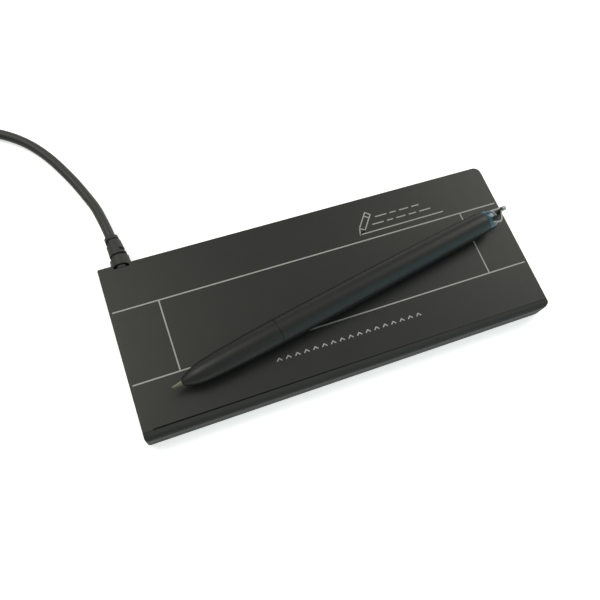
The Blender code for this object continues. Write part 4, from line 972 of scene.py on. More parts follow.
def add_piece(
    name: str,
    mesh: bpy.types.Mesh,
    finish: Finish,
    body: Body,
    replaces: Sequence[str] = (),
    place: Matrix | None = None,
) -> bpy.types.Object:
    """Puts a piece into the scene, hangs it on the body that it rides on and hides the nodes it
    stands for.

    Args:
        name: The piece's name.
        mesh: Its mesh.
        finish: Its finish.
        body: The body that it rides on.
        replaces: The CAD nodes that it stands for.
        place: Where its own origin lies, or none for the frame's origin.

    Returns:
        The piece.
    """
    piece = bpy.data.objects.new(name, mesh)
    bpy.context.scene.collection.objects.link(piece)
    piece.data.materials.append(finish.material())
    piece.matrix_world = place or Matrix.Identity(4)
    evened = piece.modifiers.new("flat_faces_stay_flat", "WEIGHTED_NORMAL")
    evened.keep_sharp = True
    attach(piece, body.value)
    if replaces:
        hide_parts(*replaces)
    log.info("piece %s on %s, %d faces", name, body.value, len(mesh.polygons))
    return piece


def dress_node(node: str, finish: Finish) -> None:
    """Gives a CAD node that stays its finish.

    Args:
        node: The node.
        finish: Its finish.
    """
    materials = frame["nodes"][node].data.materials
    materials.clear()
    materials.append(finish.material())
    log.info("node %s in %s", node, finish.name)


def joint_named(name: str) -> dict:
    """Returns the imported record's joint of that name."""
    return next(joint for joint in frame["joints"] if joint["name"] == name)


@dataclass(frozen=True)
class Axis:
    """A line that pieces are turned about, with its own coordinates.

    Attributes:
        origin: A point on the line.
        along: The line's direction.
        side: The direction of its own Y axis.
    """

    origin: Vector
    along: Vector
    side: Vector

    def matrix(self, reach: float = 0.0) -> Matrix:
        """Places a piece on the axis.

        Args:
            reach: Distance of the piece's origin along the axis.

        Returns:
            The matrix of the piece's own coordinates, whose Z runs along the axis.
        """
        down = self.side.cross(self.along)
        turn = Matrix((down, self.side, self.along)).transposed().to_4x4()
        return Matrix.Translation(self.origin + self.along * reach) @ turn

    def span(self, node: str) -> tuple[float, float, float]:
        """Measures a CAD node against the axis.

        Args:
            node: The node.

        Returns:
            Where it starts and ends along the axis, and its largest radius about it.
        """
        reaches, radii = [], []
        for vertex in frame["nodes"][node].data.vertices:
            offset = vertex.co - self.origin
            reaches.append(offset.dot(self.along))
            radii.append((offset - self.along * reaches[-1]).length)
        return min(reaches), max(reaches), max(radii)


# The pad


@dataclass
class PadCase:
    """The two covers and the printed sheet on top.

    Attributes:
        cover_edge: Radius of the covers' moulded edges.
        sheet_edge: Radius of the printed sheet's cut edge.
        gap_start: Where the gap before the lip opens, from the left end.
        gap_opening: Length over which it opens.
        gap_closed: How far the sheet's front edge reaches forward where the gap is closed.
        gap_share: Share of the sheet's length over which the gap closes again towards the right.
    """

    cover_edge: float = 0.12 * MM
    sheet_edge: float = 0.15 * MM
    gap_start: float = 3.4 * MM
    gap_opening: float = 1.0 * MM
    gap_closed: float = 0.46 * MM
    gap_share: float = 0.8

    def build(self) -> None:
        """Makes the covers and the sheet."""
        for node, name in (("top_cover", "upper_shell"), ("base_cover", "lower_shell")):
            mesh = refined(node, self.cover_edge)
            add_piece(name, mesh, CASE_ABS, Body.PAD, [node])
        mesh = self.fitted(refined("graphic_overlay", self.sheet_edge))
        nodes = ["graphic_overlay"]
        add_piece("overlay_sheet", mesh, OVERLAY_FILM, Body.PAD, nodes)

    def fitted(self, mesh: bpy.types.Mesh) -> bpy.types.Mesh:
        """Brings the sheet's front edge to the lip at its left end and towards the right.

        Args:
            mesh: The sheet's mesh, which is changed.

        Returns:
            The same mesh.
        """
        low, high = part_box("graphic_overlay")
        opens = low.x + self.gap_start
        widest = opens + self.gap_opening
        closes = low.x + (high.x - low.x) * self.gap_share
        front = low.y + 2 * self.sheet_edge
        shape = bmesh.new()
        shape.from_mesh(mesh)
        for x in (opens, widest, closes):
            parts = [*shape.verts, *shape.edges, *shape.faces]
            bmesh.ops.bisect_plane(
                shape, geom=parts, plane_co=(x, 0.0, 0.0), plane_no=(1.0, 0.0, 0.0)
            )
        for corner in shape.verts:
            if corner.co.y < front:
                closed = max(
                    min((widest - corner.co.x) / self.gap_opening, 1.0),
                    min((corner.co.x - widest) / (closes - widest), 1.0),
                )
                corner.co.y -= self.gap_closed * closed
        shape.to_mesh(mesh)
        shape.free()
        return mesh


@dataclass
class Printing:
    """The ink on the overlay: the signing frame and plain signs.

    Attributes:
        line: Width of the frame's lines.
        end_inset: Distance from the overlay's ends to the long lines.
        back_line: Distance from the back edge to the upper line.
        front_line: Distance from the back edge to the lower line.
        left_line: Distance from the left end to the left upright.
        right_line: Distance from the right end to the right upright.
        ink: Thickness of the ink above the sheet.
        sign_line: Width of the small signs' lines.
        sign_place: Place of the pencil's point, from the overlay's middle and its back edge.
        pencil: Length and width of the drawn pencil.
        pencil_lean: How steeply it stands.
        sharpened: Share of its length that is sharpened.
        cap_start: Share of its length at which its cap starts.
        cap_line: Share of its width that the cap's line spans.
        rule: Length of the rule below it.
        dashes: Lengths of the dashes in a row, in turn.
        dash_gap: Gap between them.
        dash_rows: Each row's height above the rule, its start and its end along the rule.
        chevron: Width of a chevron.
        chevron_pitch: Distance between chevrons.
        chevron_count: Number of chevrons.
        chevron_place: Distance of their row from the back edge.
    """

    line: float = 0.5 * MM
    end_inset: float = 1.1 * MM
    back_line: float = 18.5 * MM
    front_line: float = 47.15 * MM
    left_line: float = 18.45 * MM
    right_line: float = 18.0 * MM
    ink: float = 0.015 * MM
    sign_line: float = 0.45 * MM
    sign_place: tuple[float, float] = (20.0 * MM, -15.6 * MM)
    pencil: tuple[float, float] = (10.5 * MM, 2.4 * MM)
    pencil_lean: float = 52 * DEGREE
    sharpened: float = 0.26
    cap_start: float = 0.84
    cap_line: float = 0.8
    rule: float = 38.0 * MM
    dashes: tuple[float, ...] = (5.2 * MM, 2.8 * MM, 4.2 * MM, 3.4 * MM)
    dash_gap: float = 1.5 * MM
    dash_rows: tuple[tuple[float, float, float], ...] = (
        (3.0 * MM, 6.5 * MM, 36.0 * MM),
        (6.0 * MM, 9.0 * MM, 31.0 * MM),
    )
    chevron: float = 2.0 * MM
    chevron_pitch: float = 3.6 * MM
    chevron_count: int = 17
    chevron_place: float = 55.0 * MM

    def __post_init__(self) -> None:
        """Finds the overlay that it prints on."""
        self.low, self.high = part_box("graphic_overlay")
        self.middle = (self.low.x + self.high.x) / 2

    def build(self) -> None:
        """Prints the frame and the signs."""
        prints = {
            Print.FRAME: (self.frame_lines(), self.line),
            Print.PICTOGRAM: (self.pictogram(), self.sign_line),
            Print.CHEVRONS: (self.chevrons(), self.sign_line),
        }
        top = self.high.z
        for kind, (strokes, width) in prints.items():
            mesh = ribbons(kind.value, strokes, width, top - self.ink, top + self.ink)
            add_piece(kind.value, mesh, SCREEN_INK, Body.PAD)

    def frame_lines(self) -> list[Outline]:
        """Draws the two long lines and the two uprights between them.

        Returns:
            The strokes.
        """
        left, right = self.low.x + self.end_inset, self.high.x - self.end_inset
        upper, lower = self.high.y - self.back_line, self.high.y - self.front_line
        inner = self.line / 2
        lines = [[(left, y), (right, y)] for y in (upper, lower)]
        for x in (self.low.x + self.left_line, self.high.x - self.right_line):
            lines.append([(x, lower + inner), (x, upper - inner)])
        return lines

    def pictogram(self) -> list[Outline]:
        """Draws a leaning pencil on a rule, and rows of dashes beside it.

        Returns:
            The strokes.
        """
        point = Vector((self.middle + self.sign_place[0], self.high.y + self.sign_place[1]))
        lean = Vector((math.cos(self.pencil_lean), math.sin(self.pencil_lean)))
        across = Vector((-lean.y, lean.x))
        length, width = self.pencil
        shoulder, cap = self.sharpened * length, self.cap_start * length
        left, right = across * (width / 2), across * (-width / 2)
        pencil = [point, point + lean * shoulder + right, point + lean * length + right]
        pencil += [point + lean * length + left, point + lean * shoulder + left, *pencil[:2]]
        strokes = [[tuple(corner) for corner in pencil]]
        for reach, share in ((shoulder, 1.0), (cap, self.cap_line)):
            ends = (point + lean * reach + left * share, point + lean * reach + right * share)
            strokes.append([tuple(end) for end in ends])
        strokes.append([tuple(point), (point.x + self.rule, point.y)])
        for height, start, end in self.dash_rows:
            y, turn = point.y + height, 0
            while start + self.dashes[turn] <= end:
                x = point.x + start
                strokes.append([(x, y), (x + self.dashes[turn], y)])
                start += self.dashes[turn] + self.dash_gap
                turn = (turn + 1) % len(self.dashes)
        return strokes

    def chevrons(self) -> list[Outline]:
        """Draws a row of chevrons that point to the signing strip.

        Returns:
            The strokes.
        """
        y, half = self.high.y - self.chevron_place, self.chevron / 2
        row = []
        for index in range(self.chevron_count):
            x = self.middle + (index - (self.chevron_count - 1) / 2) * self.chevron_pitch
            row.append([(x - half, y), (x, y + half), (x + half, y)])
        return row


@dataclass
class Underside:
    """What the lower shell carries: rubber feet, a blank label and the case screws.

    Attributes:
        foot_edge: Radius of a foot's lower edge.
        foot_rim: Share of a foot's radius at which the rim of its sole starts.
        foot_dish: Depth of the hollow in its sole.
        dish_floor: Share of the rim's radius that the hollow's flat floor covers.
        label_corner: Corner radius of the label.
        label_edge: Share of the label's thickness by which its edges are rounded.
        screw_edge: Radius of the screws' edges.
        screw_count: Number of case screws.
    """

    foot_edge: float = 0.45 * MM
    foot_rim: float = 0.72
    foot_dish: float = 0.2 * MM
    dish_floor: float = 0.6
    label_corner: float = 2.0 * MM
    label_edge: float = 1 / 3
    screw_edge: float = 0.06 * MM
    screw_count: int = 4

    def build(self) -> None:
        """Makes the feet, the label and the screws."""
        for side in ("front_left", "front_right", "back_left", "back_right"):
            self.foot(f"foot_{side}", f"rubber_foot_{side}")
        low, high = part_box("base_label")
        edge = (high.z - low.z) * self.label_edge
        mesh = plate("blank_label", low, high, self.label_corner, edge)
        add_piece("blank_label", mesh, LABEL_FILM, Body.PAD, ["base_label"])
        for index in range(1, self.screw_count + 1):
            node = f"case_screw_{index}"
            mesh = refined(node, self.screw_edge)
            name = f"closing_screw_{index}"
            add_piece(name, mesh, SCREW_STEEL, Body.PAD, [node])

    def foot(self, node: str, name: str) -> None:
        """Turns one foot with a round rim and a shallow dish in its sole.

        Args:
            node: The CAD node that it stands for.
            name: The piece's name.
        """
        low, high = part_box(node)
        radius, height = (high.x - low.x) / 2, high.z - low.z
        rim = self.foot_rim * radius
        profile = [(0.0, height), (radius, height), (radius, 0.0), (rim, 0.0)]
        profile.append((self.dish_floor * rim, self.foot_dish))
        mesh = turned(name, [*eased(profile, self.foot_edge), (0.0, self.foot_dish)])
        centre = Matrix.Translation(((low.x + high.x) / 2, (low.y + high.y) / 2, low.z))
        add_piece(name, mesh, FOOT_RUBBER, Body.PAD, [node], centre)


@dataclass
class InnerWorks:
    """The sensor stack and the controller board inside the case.

    All of them but the foam keep the frame's own meshes.

    Attributes:
        foam_corner: Corner radius of the foam.
        foam_edge: Radius of its cut edges.
    """

    foam_corner: float = 1.5 * MM
    foam_edge: float = 0.4 * MM

    def build(self) -> None:
        """Dresses the inner nodes, and makes the foam."""
        finishes = {
            "touch_film": TOUCH_FILM,
            "film_spacer": TRANSFER_TAPE,
            "sensor_glass": SENSOR_GLASS,
            "weight_plate": ROLLED_STEEL,
            "flex_tail": POLYIMIDE,
            "flex_connector": NYLON,
            "controller_board": SOLDER_MASK,
            "controller_chip": CHIP_EPOXY,
            "clock_crystal": CRYSTAL_CAN,
            "cable_header": NYLON,
            "header_plug": NYLON,
            "board_screw_1": SCREW_STEEL,
            "board_screw_2": SCREW_STEEL,
            "cable_core_1": insulation("red", "#b02a20"),
            "cable_core_2": insulation("white", "#dcdcd6"),
            "cable_core_3": insulation("green", "#2f8f45"),
            "cable_core_4": insulation("black", "#262626"),
        }
        for node, finish in finishes.items():
            dress_node(node, finish)
        for node in sorted(name for name in frame["nodes"] if name.startswith("chip_capacitor")):
            dress_node(node, CERAMIC)
        low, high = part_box("foam_pad")
        mesh = plate("foam_sheet", low, high, self.foam_corner, self.foam_edge)
        foam = add_piece("foam_sheet", mesh, FOAM, Body.PAD, ["foam_pad"])


# The cable


@dataclass(frozen=True)
class FlexSlot:
    """A short slot across the strain relief, which lets it flex.

    One with a negative depth is a key that stands up.

    Attributes:
        start: Where it starts, from the wall.
        length: Its length along the relief.
        middle: Angle of its middle from the upper side, towards the right.
        spread: Half of the angle that it covers.
        depth: Its depth.
        end_power: Exponent of its steep ends along the relief.
        side_power: Exponent of its softer ends round the relief.
    """

    start: float
    length: float
    middle: float
    spread: float
    depth: float
    end_power: int = 8
    side_power: int = 6

    def depth_at(self, distance: float, angle: float) -> float:
        """Measures the slot at a point of the relief.

        Args:
            distance: Distance from the wall.
            angle: Angle from the upper side, towards the right.

        Returns:
            The depth there.
        """
        along = abs(distance - self.start - self.length / 2) / (self.length / 2)
        around = abs((angle - self.middle + math.pi) % FULL_TURN - math.pi) / self.spread
        kept = max(0.0, 1 - along**self.end_power) * max(0.0, 1 - around**self.side_power)
        return self.depth * kept


@dataclass
class StrainRelief:
    """The relief moulded on the cable where it leaves the case.

    Attributes:
        wall: Thickness of the case's wall.
        gap: Clearance between the wall and the collar.
        neck: Radius in the wall's notch.
        collar: Radius of the collar at the wall.
        collar_end: Radius at its other end.
        collar_length: Its length.
        waist: Radius of the groove behind the collar.
        waist_length: Its length.
        sleeve: Radius of the sleeve at the waist.
        sleeve_end: Radius at the sleeve's end.
        groove: Radius of the groove before the tip.
        groove_length: Its length.
        tip: Radius of the tip.
        tip_length: Its length.
        length: Length from the wall to the tip's end.
        sway: How far the tip bends to the left.
        bend: Exponent of the curve that it bends along; one is a straight lean.
        fall: How far the tip bends down.
        height: Height of the axis above the table.
        exit_inset: Distance of the axis from the case's left end.
        edge: Radius of the moulded edges.
        spacing: Spacing of the points along it, which the slots need.
        sides: Number of its sides.
        slots: The flex slots, and the key in the wall's notch.
    """

    wall: float = 1.6 * MM
    gap: float = 0.3 * MM
    neck: float = 2.6 * MM
    collar: float = 4.05 * MM
    collar_end: float = 3.75 * MM
    collar_length: float = 4.4 * MM
    waist: float = 2.6 * MM
    waist_length: float = 0.9 * MM
    sleeve: float = 3.4 * MM
    sleeve_end: float = 3.0 * MM
    groove: float = 2.2 * MM
    groove_length: float = 0.7 * MM
    tip: float = 2.75 * MM
    tip_length: float = 1.5 * MM
    length: float = 14.2 * MM
    sway: float = 0.9 * MM
    bend: float = 1.2
    fall: float = 0.4 * MM
    height: float = 5.4 * MM
    exit_inset: float = 9.0 * MM
    edge: float = 0.18 * MM
    spacing: float = 0.15 * MM
    sides: int = 96
    slots: tuple[FlexSlot, ...] = (
        FlexSlot(6.6 * MM, 1.3 * MM, 72 * DEGREE, 50 * DEGREE, 1.0 * MM),
        FlexSlot(10.6 * MM, 1.4 * MM, -70 * DEGREE, 45 * DEGREE, 0.8 * MM),
        FlexSlot(3.7 * MM, 1.2 * MM, -72 * DEGREE, 38 * DEGREE, 0.9 * MM),
        FlexSlot(-1.3 * MM, 1.7 * MM, 0.0, 34 * DEGREE, -1.25 * MM),
    )

    def profile(self) -> Outline:
        """Draws the relief's outer line, without the slots.

        Returns:
            Distances from the wall, and radii.
        """
        waist_start = self.gap + self.collar_length
        sleeve_start = waist_start + self.waist_length
        groove_start = self.length - self.tip_length - self.groove_length
        tip_start = self.length - self.tip_length
        steps = [
            (-self.wall - self.gap, self.neck),
            (self.gap, self.neck),
            (self.gap, self.collar),
            (waist_start, self.collar_end),
            (waist_start, self.waist),
            (sleeve_start, self.waist),
            (sleeve_start, self.sleeve),
            (groove_start, self.sleeve_end),
            (groove_start, self.groove),
            (tip_start, self.groove),
            (tip_start, self.tip),
            (self.length, self.tip),
            (self.length, self.groove),
        ]
        return eased(steps, self.edge)

    def centre(self, distance: float) -> Vector:
        """Finds the relief's axis at a distance from the wall.

        Args:
            distance: The distance from the wall's outer face.

        Returns:
            The point.
        """
        low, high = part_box("top_cover")
        start = self.gap + self.collar_length
        bend = (max(distance - start, 0.0) / (self.length - start)) ** self.bend
        x = low.x + self.exit_inset - self.sway * bend
        return Vector((x, high.y + distance, self.height - self.fall * bend))

    def build(self) -> bpy.types.Object:
        """Makes the relief.

        Returns:
            The piece.
        """
        profile = self.dense(self.profile())
        line = [self.centre(distance) for distance, _ in profile]

        def radius(index: int, angle: float) -> float:
            """Returns the radius at a point, less the depth of the slots there."""
            distance, full = profile[index]
            return full - sum(slot.depth_at(distance, angle) for slot in self.slots)

        mesh = swept("relief_sleeve", line, radius, self.sides)
        nodes = ["strain_relief"]
        return add_piece("relief_sleeve", mesh, MOULDED_VINYL, Body.PAD, nodes)

    def dense(self, profile: Outline) -> Outline:
        """Splits long stretches of the outer line, so that the slots have points to follow.

        Args:
            profile: Distances and radii.

        Returns:
            The same line with more points.
        """
        made = [profile[0]]
        for start, end in zip(profile, profile[1:]):
            steps = max(1, math.ceil((end[0] - start[0]) / self.spacing))
            for step in range(1, steps + 1):
                share = step / steps
                made.append(tuple(Vector(start).lerp(Vector(end), share)))
        return made


@dataclass
class Cable:
    """The free cable: the stretch that shows, the tied coil, and the stretch to the plug.

    Attributes:
        diameter: The jacket's diameter.
        coil_place: The coil's centre.
        outer_radius: Radius of its outermost turns.
        pitch: Distance between turns side by side.
        layer: Distance between layers.
        layers: Number of layers.
        turns: Turns in a layer.
        points_per_turn: Points of the centre line in a turn.
        climb: Turns over which it climbs from layer to layer.
        base_height: Height of the lowest turns' centre.
        spacing: Spacing of the centre line's points on the free stretches.
        overlap: How far its ends reach into the relief and the plug.
        run_route: Points of its centre line from the relief to the coil.
        tail_route: Points of its centre line from the coil to the plug.
    """

    diameter: float = 4.0 * MM
    coil_place: tuple[float, float] = (-147.0 * MM, 89.0 * MM)
    outer_radius: float = 28.9 * MM
    pitch: float = 4.5 * MM
    layer: float = 4.45 * MM
    layers: int = 4
    turns: int = 3
    points_per_turn: int = 48
    climb: float = 0.5
    base_height: float = 3.2 * MM
    spacing: float = 1.2 * MM
    overlap: float = 1.0 * MM

    run_route = (
        (-0.07551, 0.04830, 0.00498),
        (-0.07610, 0.05300, 0.00470),
        (-0.07685, 0.05800, 0.00420),
        (-0.07800, 0.06400, 0.00335),
        (-0.08000, 0.07030, 0.00250),
        (-0.08310, 0.07850, 0.00210),
        (-0.08610, 0.08500, 0.00205),
        (-0.08930, 0.09120, 0.00205),
        (-0.09310, 0.09710, 0.00205),
        (-0.09770, 0.10260, 0.00205),
        (-0.10330, 0.10740, 0.00205),
        (-0.10970, 0.11130, 0.00205),
        (-0.11680, 0.11440, 0.00210),
        (-0.12430, 0.11660, 0.00240),
        (-0.13180, 0.11770, 0.00290),
        (-0.13870, 0.11790, 0.00320),
        (-0.14270, 0.11790, 0.00320),
    )
    tail_route = (
        (-0.15130, 0.11790, 0.01655),
        (-0.15530, 0.11790, 0.01655),
        (-0.16200, 0.11700, 0.01655),
        (-0.16830, 0.11420, 0.01645),
        (-0.17370, 0.10980, 0.01560),
        (-0.17750, 0.10410, 0.01340),
        (-0.17980, 0.09740, 0.01060),
        (-0.18060, 0.09000, 0.00780),
        (-0.18070, 0.08300, 0.00570),
        (-0.18070, 0.07700, 0.00460),
        (-0.18070, 0.07200, 0.00430),
    )

    def coil_point(self, turns: float) -> Vector:
        """Finds a point of the coil's centre line.

        Args:
            turns: The number of turns from the coil's start.

        Returns:
            The point.
        """
        half_climb = self.climb / 2
        layer, within = divmod(turns, self.turns)
        inward = self.pitch * (within if layer % 2 == 0 else self.turns - within)
        level = layer
        if within > self.turns - half_climb and layer < self.layers - 1:
            level += (within - self.turns + half_climb) / self.climb
        if within < half_climb and 0 < layer < self.layers:
            level += (within - half_climb) / self.climb
        level = min(level, self.layers - 1)
        angle = QUARTER_TURN + FULL_TURN * turns
        radius = self.outer_radius - inward
        x, y = self.coil_place
        height = self.base_height + level * self.layer
        return Vector((x + radius * math.cos(angle), y + radius * math.sin(angle), height))

    def centre_line(self) -> list[Vector]:
        """Draws the whole cable's centre line, from the relief to the plug.

        Returns:
            Its points.
        """
        run = smooth_line(self.run_route, self.spacing)
        tail = smooth_line(self.tail_route, self.spacing)
        turns = self.layers * self.turns
        count = turns * self.points_per_turn
        coil = [self.coil_point(i / self.points_per_turn) for i in range(count)]
        last = self.coil_point(0.0)
        last.z += (self.layers - 1) * self.layer
        start = run[0] + (run[0] - run[1]).normalized() * self.overlap
        end = tail[-1] + (tail[-1] - tail[-2]).normalized() * self.overlap
        return [start, *run, *coil, last, *tail, end]

    def build(self, with_pieces: Sequence[bpy.types.Object]) -> bpy.types.Object:
        """Args:
            with_pieces: The pieces on the cable; not used.

        Returns:
            The piece.
        """
        line = self.centre_line()
        mesh = swept("vinyl_cable", line, lambda index, angle: self.diameter / 2)
        nodes = ["cable_run", "cable_coil", "cable_tail"]
        cable = add_piece("vinyl_cable", mesh, CABLE_VINYL, Body.PAD, nodes)
        log.info("cable is %.3f m long", line_length(line))
        return cable


@dataclass
class CoilTie:
    """The hook-and-loop strap, closed round the coil.

    Attributes:
        thickness: Thickness of the strap.
        corner: Radius of its bends.
        edge: Radius of its woven edges.
    """

    thickness: float = 0.8 * MM
    corner: float = 3.0 * MM
    edge: float = 0.25 * MM

    def build(self) -> bpy.types.Object:
        """Makes the strap.

        Returns:
            The piece.
        """
        low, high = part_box("coil_tie")
        ends = [Vector((corner.y, corner.z, 0.0)) for corner in (low, high)]
        outline = rounded_rectangle(*ends, self.corner, steps=8)
        band = [self.section(Vector(point), low, high) for point in outline]
        mesh = lofted("strap_band", band, closed=True)
        return add_piece("hook_strap", mesh, STRAP_NYLON, Body.PAD, ["coil_tie"])

    def section(self, outer: Vector, low: Vector, high: Vector) -> list[tuple[float, ...]]:
        """Draws the strap's cross section at one point of its outer line.

        Args:
            outer: The point, as Y and Z.
            low: The strap's lowest corner.
            high: Its highest corner.

        Returns:
            The section's points.
        """
        x, *middle = [(a + b) / 2 for a, b in zip(low, high)]
        away = [there - here for there, here in zip(middle, outer)]
        inner = outer + Vector([math.copysign(min(abs(a), self.thickness), a) for a in away])
        half = (high.x - low.x) / 2
        corners = [(-half, 0.0), (half, 0.0), (half, 1.0), (-half, 1.0)]
        flat = eased(corners, self.edge, closed=True, steps=2)
        return [(x + across, *outer.lerp(inner, deep)) for across, deep in flat]


@dataclass
class Plug:
    """The plug: moulded body with ribbed relief, pressed shell, tongue and contacts.

    Attributes:
        relief_length: Length of the ribbed relief.
        relief_tip: Its radius at the cable.
        relief_root: Its radius at the body.
        rib_pitch: Distance between the relief's ribs.
        rib_depth: Depth of the grooves between them.
        shoulder: Length over which the relief widens to the body.
        squareness: Exponent of the body's rounded section.
        pinch: How far the body narrows for the fingers.
        end_round: Length over which the body's end is rounded.
        end_drawn: How far that end is drawn in.
        panel: Half length of the sunk panel in each broad face.
        panel_share: Share of the body's width that the panel covers.
        panel_shift: How far the panel lies from the body's middle, towards the shell.
        panel_depth: Depth of that panel.
        panel_slope: Width of its sloping edge, as a share of its half size.
        panel_power: Exponent of its rounded outline.
        edge: Radius of the metal's and the tongue's edges.
        sections: Number of stretches that the body is lofted in.
        sides: Number of its sides.
        contact_count: Number of contacts.
    """

    relief_length: float = 9.0 * MM
    relief_tip: float = 2.6 * MM
    relief_root: float = 3.4 * MM
    rib_pitch: float = 1.7 * MM
    rib_depth: float = 0.3 * MM
    shoulder: float = 2.2 * MM
    squareness: float = 5.0
    pinch: float = 0.5 * MM
    end_round: float = 1.2 * MM
    end_drawn: float = 0.9 * MM
    panel: float = 6.0 * MM
    panel_share: float = 0.62
    panel_shift: float = 0.8 * MM
    panel_depth: float = 0.3 * MM
    panel_slope: float = 0.12
    panel_power: int = 4
    edge: float = 0.06 * MM
    sections: int = 132
    sides: int = 72
    contact_count: int = 4

    def __post_init__(self) -> None:
        """Finds the moulded body's place and size."""
        low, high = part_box("plug_body")
        self.half = Vector(((high.x - low.x) / 2, (high.z - low.z) / 2))
        self.length = high.y - low.y
        start = Vector(((low.x + high.x) / 2, high.y, (low.z + high.z) / 2))
        self.axis = Axis(start, Vector((0.0, -1.0, 0.0)), Vector((0.0, 0.0, 1.0)))

    def build(self) -> list[bpy.types.Object]:
        """Makes the plug.

        Returns:
            Its pieces.
        """
        pieces = [self.body()]
        named = {
            "plug_shell": ("pressed_shell", PLUG_STEEL, "plug_metal"),
            "plug_tongue": ("shell_tongue", NYLON, "connector"),
        }
        for index in range(1, self.contact_count + 1):
            name = f"gold_contact_{index}"
            named[f"plug_contact_{index}"] = (name, CONTACT_GOLD, "contact_gold")
        for node, (name, finish, slot) in named.items():
            mesh = refined(node, self.edge)
            pieces.append(add_piece(name, mesh, finish, Body.PAD, [node]))
        return pieces

    def body(self) -> bpy.types.Object:
        """Lofts the moulded body from round sections at the cable to a flat one at the shell.

        Returns:
            The piece.
        """
        rings = [
            self.ring(self.length * step / self.sections) for step in range(self.sections + 1)
        ]
        mesh = lofted("plug_moulding", rings)
        return add_piece(
            "plug_moulding",
            mesh,
            MOULDED_VINYL,
            Body.PAD,
            ["plug_body"],
            self.axis.matrix(),
        )

    def ring(self, reach: float) -> list[tuple[float, float, float]]:
        """Draws the body's section at a distance from the cable's end.

        Args:
            reach: The distance.

        Returns:
            The section's points, in the plug's own coordinates.
        """
        past_relief = max(reach - self.relief_length, 0.0)
        grown = math.sin(min(past_relief / self.shoulder, 1.0) * QUARTER_TURN)
        share = min(reach / self.relief_length, 1.0)
        relief = self.relief_tip + (self.relief_root - self.relief_tip) * share
        if reach < self.relief_length:
            phase = math.cos(reach / self.rib_pitch * FULL_TURN)
            relief -= self.rib_depth * max(0.0, -phase) ** 0.5
        end = max(0.0, reach - self.length + self.end_round) / self.end_round
        drawn_in = self.end_drawn * (1 - math.sqrt(max(0.0, 1 - end**2)))
        along = min(past_relief / (self.length - self.relief_length), 1.0)
        pinch = self.pinch * math.sin(along * math.pi) ** 2
        half_x = relief + (self.half.x - drawn_in - pinch - relief) * grown
        half_y = relief + (self.half.y - drawn_in - relief) * grown
        power = 2 + (self.squareness - 2) * grown
        ring = []
        for step in range(self.sides):
            angle = FULL_TURN * step / self.sides
            c, s = math.cos(angle), math.sin(angle)
            fit = (abs(c) ** power + abs(s) ** power) ** (-1 / power)
            x, y = half_x * c * fit, half_y * s * fit
            y -= math.copysign(self.sunk(x, reach), y)
            ring.append((x, y, reach))
        return ring

    def sunk(self, x: float, reach: float) -> float:
        """Measures the panel's depth at a point of the broad face.

        Args:
            x: Distance from the plug's middle.
            reach: Distance from the cable's end.

        Returns:
            The depth there.
        """
        middle = (self.relief_length + self.length) / 2 + self.panel_shift
        across, along = x / (self.panel_share * self.half.x), (reach - middle) / self.panel
        away = (across**self.panel_power + along**self.panel_power) ** (1 / self.panel_power)
        inside = (1 + self.panel_slope / 2 - away) / self.panel_slope
        return self.panel_depth * min(max(inside, 0.0), 1.0)


# The pen


